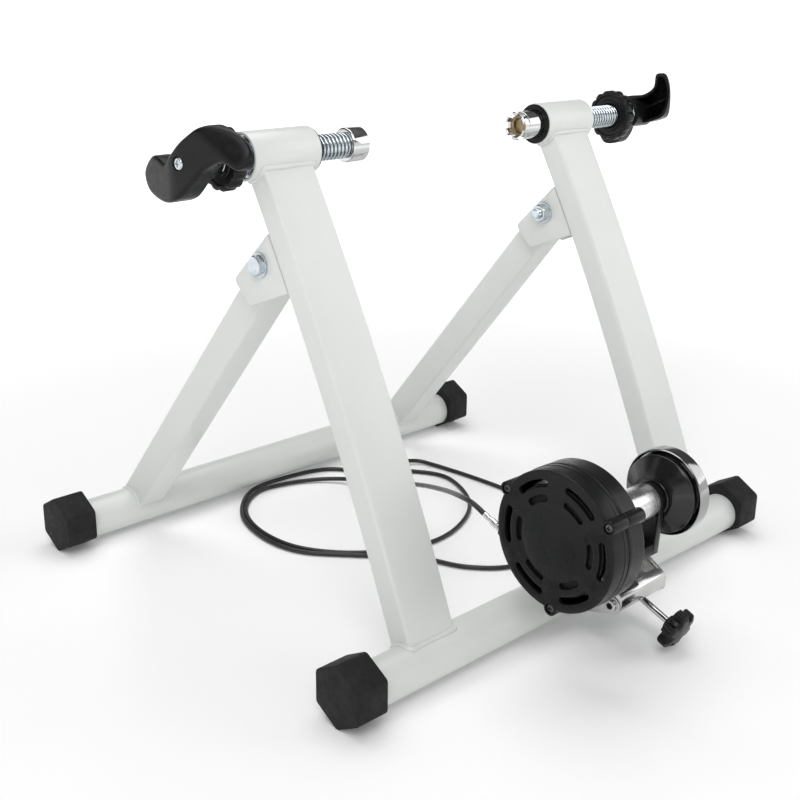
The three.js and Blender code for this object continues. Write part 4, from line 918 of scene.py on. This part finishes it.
def make_spindle(side, sign, mouth, cup_length, lever_at, turn):
    stub, start, seat = mouth + 9.3, mouth + cup_length + GAP, lever_at + 23.7
    rings = [(6.6, stub), (7.5, stub + 0.9), (7.5, start), (9.8, start + 0.01)]
    rings += threaded_rings(THREAD_R, start + 0.4, lever_at - 0.9, THREAD_DEPTH, SPINDLE_PITCH, 9, 2.5)
    rings += [(9.6, lever_at - GAP), (STUB_R, lever_at - GAP + 0.01), (STUB_R, seat - 0.6),
              (STUB_R - 0.6, seat), (3.2, seat + 0.001), (3.2, seat - 12), (0.2, seat - 12.001)]
    spindle = lathe(rings, 56, thread(SPINDLE_PITCH))
    hand_over(spindle, f"{side}_spindle", side_place(sign, 0, turn=turn), sharp=50)
    # Faces in the thread roots take a darker metal: painted shade in the valleys of the thread
    root = THREAD_R - 0.55 * THREAD_DEPTH
    second_finish(spindle, "thread_root_painted_shade", SLEEVE_AXIS,
                  lambda x, r: r < root and start < sign * x < lever_at - 1)


# Mount of the roller unit
BLOCK_PLACE, SWING_PLACE = at(MOUNT_X, BLOCK_Y, BLOCK_Z), at(MOUNT_X, SWING_Y, SWING_Z)
ROD_PITCH = 1.25


def rod_place(distance):
    axis = Vector((0, -math.cos(ROD_TILT), -math.sin(ROD_TILT)))
    turn = Vector((1, 0, 0)).rotation_difference(axis).to_matrix().to_4x4()
    return BLOCK_PLACE @ at(*(axis * distance)) @ turn


def make_adjusting_rod():
    rings = [(1.8, 0), (2.7, 1.0), *threaded_rings(ROD_R, 1.2, 37, 0.45, ROD_PITCH, 6, 1.5)]
    rings += [(ROD_R, 38), (ROD_R, ROD_LENGTH)]
    made = lathe(rings, 28, thread(ROD_PITCH))
    hand_over(made, "adjusting_rod", rod_place(ROD_TIP), sharp=50, look="chrome")


def make_adjusting_knob():
    lobes, depth, radius, thick = 6, 4.6, 18.5, 13.0

    def lobed(x, angle):
        wave = min(max((0.5 - 0.5 * math.cos(lobes * angle) - 0.32) / 0.6, 0), 1)
        rib = 0.22 * (0.5 - 0.5 * math.cos(lobes * 6 * angle)) if 4.5 < x < thick - 0.6 else 0.0
        return wave * wave * (3 - 2 * wave) + rib * (1 - wave)
    hole = ROD_R + GAP
    profile = [(hole, KNOB_SOCKET), (hole, 0.5), (3.9, -0.01), (6.6, 0), (7.4, 0.8), (7.4, 3.2),
               (8.6, 3.7, 0), (radius - 2.2, 3.9, depth * 0.8), (radius - 0.5, 4.3, depth),
               (radius, 5.2, depth), (radius, thick - 1.0, depth), (radius - 0.4, thick - 0.3, depth),
               (radius - 1.4, thick + 0.3, depth * 0.9), (radius - 3.2, thick + 1.5, depth * 0.8),
               (radius - 4.2, thick + 1.9, depth * 0.65), (radius - 7.5, thick + 2.3, depth * 0.2),
               (6.0, thick + 2.9), (2.0, thick + 3.1), (0.2, thick + 3.1), (0.2, KNOB_SOCKET + 0.01)]
    knob = lathe(profile, lobes * 54, lobed, closed=True)
    hand_over(knob, "adjusting_knob", rod_place(ROD_TIP + ROD_LENGTH - KNOB_SOCKET + GAP), sharp=38)


def make_rod_block():
    half, bore, deep = 29.2, BLOCK_SCREW_R + GAP, 9
    bar = turned([(bore, -half), (6.2, -half), (6.2, half), (bore, half)], 0.7, 56)
    for x0, x1 in ((-half - 1, deep - half), (half - deep, half + 1)):
        cut(bar, rod(bore, x0, x1, SMALL))
    cut(bar, shape(rod(ROD_R + GAP, -20, 20, SMALL), BLOCK_PLACE.inverted() @ rod_place(0)))
    hand_over(bar, "rod_block", BLOCK_PLACE)
    for side, sign in SIDES:
        head = turned([(0.3, 0), (8.2, 0), (8.2, 0.9), (5.6, 0.9), (5.5, 4), (0.3, 4)], 0.5, ROUND)
        cut(head, lathe([(3.3, 1.2), (3.4, 5)], HEX_SIDES))
        join(head, rod(BLOCK_SCREW_R, -11, 0.1, 24))
        place = side_place(sign, 0, BLOCK_Y, BLOCK_Z) @ at(SWING_HALF + GAP + MOUNT_X * sign)
        hand_over(head, f"block_screw_{side}", place, look="plated_sheet")
        # The hex socket and the shank inside take the dark metal: painted shade in the socket
        second_finish(head, "dark_screw_and_socket_shade", (BLOCK_Y, BLOCK_Z), lambda x, r: r < 3.2)


def make_swing_frame():
    """Plated channel round the swing pin, with a window in its top and two shaped cheeks."""
    reach, half, sheet, nose = 41.0, SWING_HALF, 2.5, 4.5
    plate_front, plate_back, rise = -0.415, -0.29, 0.012
    shares = [(-0.85, -0.87), (-1, -0.70), (-1, plate_front, nose), (plate_back, rise), (-0.13, 0.21),
              (0.11, 0.2), (0.22, 0.02), (0.17, -0.2), (-0.06, -0.66), (-0.1, -1.08)]
    outline = rounded_polygon([(y * reach, z * reach, *own) for y, z, *own in shares], 3, 6)
    made = slab(outline, -half, half, 0.6, 2)
    slope = (rise - plate_front) / (1 + plate_back)
    web, plate_end = -reach + sheet, -0.39 * reach

    def under(y):
        return plate_front * reach + slope * (y + reach) - sheet * math.hypot(1, slope)
    pocket = rounded_polygon([
        (web, -2 * reach), (web, under(web), nose - sheet), (plate_end, under(plate_end)),
        (plate_end, reach), (reach, reach), (reach, -2 * reach)], 0, 6)
    cut(made, slab(pocket, -half + sheet, half - sheet))
    y0, y1, x0, x1 = -0.80 * reach, -0.46 * reach, half - 20, half - 6
    corners = rounded_polygon([(y0, -x0), (y0, -x1), (y1, -x1), (y1, -x0)], 2.5, 4)
    cut(made, shape(slab(corners, -reach, reach), Matrix.Rotation(-math.pi / 2, 4, "Y")))
    cut(made, rod(PIN_R + GAP, -half - 5, half + 5),
        shape(rod(BLOCK_SCREW_R + GAP, -half - 5, half + 5), at(0, BLOCK_Y - SWING_Y, BLOCK_Z - SWING_Z)),
        shape(rod(ROD_R + GAP, 0, 30, SMALL), SWING_PLACE.inverted() @ rod_place(0)))
    hand_over(bevel(made, 0.3, 2, 40), "swing_frame", SWING_PLACE, sharp=36, look="plated_sheet")


def make_swing_pin():
    half, corner_r, height, chamfer = SWING_HALF + GAP, 7, 4, 0.7
    head = shape(hex_head(corner_r, height, chamfer=chamfer), at(half))
    join(head, lathe([(3.2, -half - height), (PIN_R, -half - 3.2), (PIN_R, half + 1)], SMALL))
    hand_over(head, "swing_pin", SWING_PLACE)
    nut = shape(hex_head(corner_r, height, chamfer=chamfer), Matrix.Rotation(math.pi, 4, "Z"))
    cut(nut, rod(PIN_R + GAP, -6, 2, SMALL))
    hand_over(nut, "swing_pin_nut", SWING_PLACE @ at(-half))


# Roller, flywheel and housing
UNIT_PLACE = at(0, UNIT_Y, UNIT_Z)


def make_roller():
    bore, roller_r, left_end, right_end = SHAFT_R + GAP, 15, -57, 13.5
    hand_over(pipe(roller_r, bore, left_end, right_end, 0.9), "roller", UNIT_PLACE)
    shaft = lathe([(4.0, -96), (SHAFT_R, -95), (SHAFT_R, 53), (4.0, 54)], ROUND)
    hand_over(shaft, "roller_shaft", UNIT_PLACE)
    hub = turned([
        (bore, 21.5), (15.5, 21.5), (16.2, 22.3), (18.4, 22.3), (19.4, 22.6), (22.5, 24.4), (32.6, 31.2),
        (34.2, 32.4), (34.2, 35.4), (33.0, 36.4), (30.6, 36.6), (30.6, 50), (28.5, 50), (28.5, 37), (12, 37),
        (12, 50), (bore, 50)], 0.5, FINE, closed=True)
    hand_over(hub, "flywheel_hub", UNIT_PLACE, sharp=40, look="gloss_black")
    ring = turned([
        (31.3, 41.0), (35.9, 41.0), (36.5, 38.0), (37.0, 37.1), (37.5, 37.1), (38, 37.9), (38, 49.6),
        (37.2, 50.5), (35.6, 50.5), (35.0, 49.2), (32.6, 49.2), (32.2, 50.5), (31.3, 50.5)],
        0.3, 128, closed=True)
    hand_over(ring, "flywheel_ring", UNIT_PLACE, sharp=40, look="ring_chrome")
    for side, start in (("left", HOUSING_BACK + GAP), ("right", right_end + GAP)):
        profile = [(bore, 0), (6.6, 0), (6.8, 0.6), (9.3, 0.6), (9.5, 0), (11, 0), (11, 7), (9.5, 7),
                   (9.3, 6.4), (6.8, 6.4), (6.6, 7), (bore, 7)]
        bearing = turned([(r, start + x) for r, x in profile], 0.2, 64, 2, closed=True)
        hand_over(bearing, f"{side}_bearing", UNIT_PLACE)


def arc_slot(radius, angle, width, middle, inset=0.0):
    """Outline of an arc-shaped slot with round ends, in Y and Z."""
    half, ends = width / 2 - inset, width / 2 / radius
    a0, a1 = math.radians(middle - angle / 2) + ends, math.radians(middle + angle / 2) - ends
    points = []
    for reach, start, end, turn in ((radius + half, a0, a1, 0.0), (radius - half, a1, a0, math.pi)):
        points += [polar(reach, start + (end - start) * s / 16) for s in range(17)]
        points += [polar(radius, end) + polar(1, end + (turn + math.pi * s / 6)) * half for s in range(1, 6)]
    return points


def holed_face(rim, holes, x):
    """Flat face at x between a rim and the holes in it, as vertices and triangles."""
    points, edges = [], []
    for loop in (rim, *holes):
        start, count = len(points), len(loop)
        points += loop
        edges += [(start + i, start + (i + 1) % count) for i in range(count)]
    flat, _, faces, *_ = delaunay_2d_cdt(points, edges, [], 0, 1e-6)
    kept = []
    for face in faces:
        c = sum((flat[i] for i in face), Vector((0, 0))) / len(face)
        if not any(contains(hole, c) for hole in holes) and contains(rim, c):
            kept.append(tuple(face))
    return [(x, p.x, p.y) for p in flat], kept


def make_outer_shell():
    """Housing's outer shell: turned wall, slotted face with soft slot lips, screw bosses and cable inlet."""
    sides, face, rim, lip, boss_r = 144, 3.0, 56.9, 0.6, 11
    cavity = HOUSING_R - HOUSING_WALL
    slots = [(*slot, 60 * index) for index in range(6) for slot in ((47.5, 39, 5.9), (35.5, 34, 5.4))]
    verts, faces = [], []

    def wall_through(loops):
        """Bands between loops of points, each given with its distance behind the face."""
        start, count = len(verts), len(loops[0][0])
        verts.extend((HOUSING_FACE + x, p.x, p.y) for loop, x in loops for p in loop)
        faces.extend(tuple(start + i for i in quad) for quad in bands(len(loops), count))
    front = [circle(rim, sides), *[arc_slot(*slot, inset=-lip) for slot in slots]]
    back = [circle(cavity, sides), *[arc_slot(*slot) for slot in slots]]
    for loops, x in ((front, HOUSING_FACE), (back, HOUSING_FACE + face)):
        places, triangles = holed_face(loops[0], loops[1:], x)
        start = len(verts)
        verts.extend(places)
        faces.extend(tuple(start + i for i in t) for t in triangles)
    edges = ((-lip, 0), (-0.25, 0.12), (0, lip), (0, face))
    for slot in slots:
        wall_through([(arc_slot(*slot, inset=inset), x) for inset, x in edges])
    profile = [(rim, 0), (57.5, 0.2), (57.85, 0.6), (58, 1.2), (58, 13.6), (58.35, 13.9), (58.35, 17.8),
               (58.0, 18.3), (57.6, 19.0), (cavity, 19.0), (cavity, face)]
    wall_through([(circle(r, sides), x) for r, x in profile])
    shell = new_object(verts, faces)
    inside = HOUSING_FACE + face
    boss = turned([(0.3, inside - 0.4), (boss_r, inside - 0.4, 0), (boss_r, inside + 7), (0.3, inside + 7)],
                  0.4, ROUND, 2)
    inlet = turned([(0.3, 55), (5.2, 55, 0), (5.2, 60), (4.6, INLET_REACH), (0.3, INLET_REACH)],
                   0.5, SMALL, 2)
    join(shell, boss, shape(inlet, inlet_place()))
    for made in boss_set(HOUSING_FACE, HOUSING_SEAM):
        join(shell, made)
    clearance = rod(cavity, inside, HOUSING_SEAM + 6, sides)
    cut(shell, cut(clearance, rod(boss_r + 0.01, HOUSING_FACE - 2, HOUSING_SEAM + 10)))
    floor, well_r, hole_r = HOUSING_FACE + SCREW_SINK, 4.1, SHANK_R + GAP
    well = [(well_r, HOUSING_FACE - 1), (well_r, floor), (hole_r, floor + 0.01), (hole_r, HOUSING_SEAM + 5)]
    for y, z in lug_places():
        cut(shell, shape(lathe(well, SMALL), at(0, y, z)))
    hand_over(shell, "outer_shell", UNIT_PLACE, sharp=34)


def lug_places():
    return [polar(HOUSING_R, math.radians(30 + 120 * i)) for i in range(3)]


def boss_set(x0, x1):
    return [shape(turned([(0.3, x0), (6, x0), (6, x1), (0.3, x1)], 0.7, 40), at(0, y, z))
            for y, z in lug_places()]


def make_inner_shell():
    start, end, cavity = HOUSING_SEAM + GAP, HOUSING_BACK, HOUSING_R - HOUSING_WALL
    inside = end - HOUSING_WALL
    shell = turned([(cavity, start), (57.6, start, 0), (58.3, start + 0.7), (58.3, start + 4.4),
                    (58, start + 4.7), (58, end - 1.4, 1.2), (56.6, end, 1.2), (20, end), (19, end - 0.8),
                    (11, end - 0.8), (11, inside), (cavity, inside)], 0.3, 144, closed=True)
    for made in boss_set(start, end):
        join(shell, made)
    cut(shell, rod(cavity, start - 4, inside, 144))
    for y, z in lug_places():
        cut(shell, shape(rod(SHANK_R + GAP, start - 5, end + 5, 24), at(0, y, z)))
    hand_over(shell, "inner_shell", UNIT_PLACE, sharp=34)


def make_housing_screws():
    length = HOUSING_BACK - 4 - HOUSING_FACE - SCREW_SINK
    for index, (y, z) in enumerate(lug_places(), start=1):
        screw = shape(screw_head(3.7, 2.0, depth=1.2), Matrix.Rotation(math.pi, 4, "Z"))
        join(screw, rod(SHANK_R, -0.1, length, 20))
        place = at(HOUSING_FACE + SCREW_SINK - GAP, UNIT_Y + y, UNIT_Z + z)
        hand_over(screw, f"housing_screw_{index}", place, look="dark_screw_and_socket_shade")


def make_ferrule():
    profile = [(0.3, 0), (3.2, 0), (3.2, 3.4), (2.6, 3.8), (2.6, 4.8), (3.2, 5.2), (3.2, 11.3), (2.5, 11.6),
               (2.5, 13.6), (2.3, 13.9), (2.3, 14.7), (2.5, 15), (2.5, FERRULE_LENGTH), (0.3, FERRULE_LENGTH)]
    start = INLET_REACH + GAP
    barrel = turned([(r, start + x) for r, x in profile], 0.2, 40, 2)
    hand_over(barrel, "cable_ferrule", UNIT_PLACE @ inlet_place())


make_base("roller", 545.0, ROLLER_Y)
make_base("brace", 555.0, BRACE_Y)
for side, sign in SIDES:
    make_upright(side, sign)
    make_sleeve(side, sign)
    make_leg(side, sign)
    make_pivot(side, sign)
    from_cad(f"{side}_hinge_bracket", 0.7)
    clamp = CLAMPS[side]
    make_cup(side, sign, clamp["mouth"], clamp["radius"], clamp["length"])
    make_spindle(side, sign, clamp["mouth"], clamp["length"], clamp["lever_at"], clamp["turn"])
    make_lock_knob(side, sign, clamp["knob_at"])
    make_lever(side, sign, clamp["lever_at"], clamp["turn"])
from_cad("mount_lug", 0.5)
make_swing_frame()
from_cad("roller_bracket", 0.9)
make_adjusting_rod()
make_adjusting_knob()
make_rod_block()
make_swing_pin()
make_roller()
make_outer_shell()
make_inner_shell()
make_housing_screws()
make_ferrule()
remote = [from_cad("remote_body", 0.9, 3), from_cad("remote_lever", 0.8, 3)]
for name in ("magnet_carrier", "fixed_magnets", "rotor_disc"):
    from_cad(name, 0.3)

tuple(cable_exit)

for name, node in frame["nodes"].items():
    node.data.materials.clear()
    node.data.materials.append(FINISHES[NODE_SLOT[name]])


# Floor and light
def make_floor():
    """Pale floor that turns white with distance, so that no horizon shows."""
    size = 40.0
    mesh = bpy.data.meshes.new("floor")
    corners = [(-size, -size, 0), (size, -size, 0), (size, size, 0), (-size, size, 0)]
    mesh.from_pydata(corners, [], [range(4)])
    floor = add("floor", mesh)
    floor.location.z = CAD_BOX[0].z - 0.0002
    material = bpy.data.materials.new("floor")
    material.use_nodes = True
    tree = material.node_tree
    coords = new_node(tree, "TexCoord", {})
    away = new_node(tree, "VectorMath", {0: coords.outputs["Object"]}, operation="LENGTH")
    near, far, faint, full = 0.4, 2.4, 0.07, 0.95
    glow = ranged(tree, away.outputs["Value"], near, far, faint, full)
    glow.interpolation_type = "SMOOTHSTEP"
    fill(tree, tree.nodes["Principled BSDF"], {
        "Base Color": (0.93, 0.93, 0.93, 1), "Roughness": 0.9, "Specular IOR Level": 0.0,
        "Emission Color": (1, 1, 1, 1), "Emission Strength": glow.outputs[0]})
    mesh.materials.append(material)


def soft_light(name, place, aim, size, power):
    """Square area light; place, aim and size in metres, power in watts."""
    data = bpy.data.lights.new(name, "AREA")
    data.shape = "RECTANGLE"
    data.size = data.size_y = size
    data.energy = power
    light = add(name, data)
    light.location = place
    light.rotation_euler = (Vector(aim) - Vector(place)).to_track_quat("-Z", "Y").to_euler()


def make_world():
    """White surroundings up to just above the horizon, and a dark ceiling for the metals to reflect."""
    world = bpy.data.worlds.new("studio")
    bpy.context.scene.world = world
    world.use_nodes = True
    tree = world.node_tree
    coords = new_node(tree, "TexCoord", {})
    split = new_node(tree, "SeparateXYZ", {0: coords.outputs["Generated"]})
    height = ranged(tree, split.outputs["Z"], -1, 1, 0, 1)
    ramp = new_node(tree, "ValToRGB", {0: height.outputs[0]})
    stops = [(0.0, 1.0), (0.5, 1.0), (0.61, 1.0), (0.69, 0.13), (0.8, 0.10), (1.0, 0.25)]
    while len(ramp.color_ramp.elements) < len(stops):
        ramp.color_ramp.elements.new(0.5)
    for element, (place, level) in zip(ramp.color_ramp.elements, stops):
        element.position = place
        element.color = (level, level, level, 1)
    fill(tree, tree.nodes["Background"], {"Color": ramp.outputs[0], "Strength": 1.0})


make_floor()
make_world()
soft_light("key", (-1.6, -1.3, 2.4), (0, 0, 0.15), 1.8, 40)
soft_light("fill", (2.2, -1.6, 1.5), (0, 0, 0.2), 1.6, 14)
soft_light("top", (0.2, 0.6, 2.6), (0, 0, 0), 2.2, 36)
bpy.context.scene.view_settings.view_transform = "Standard"
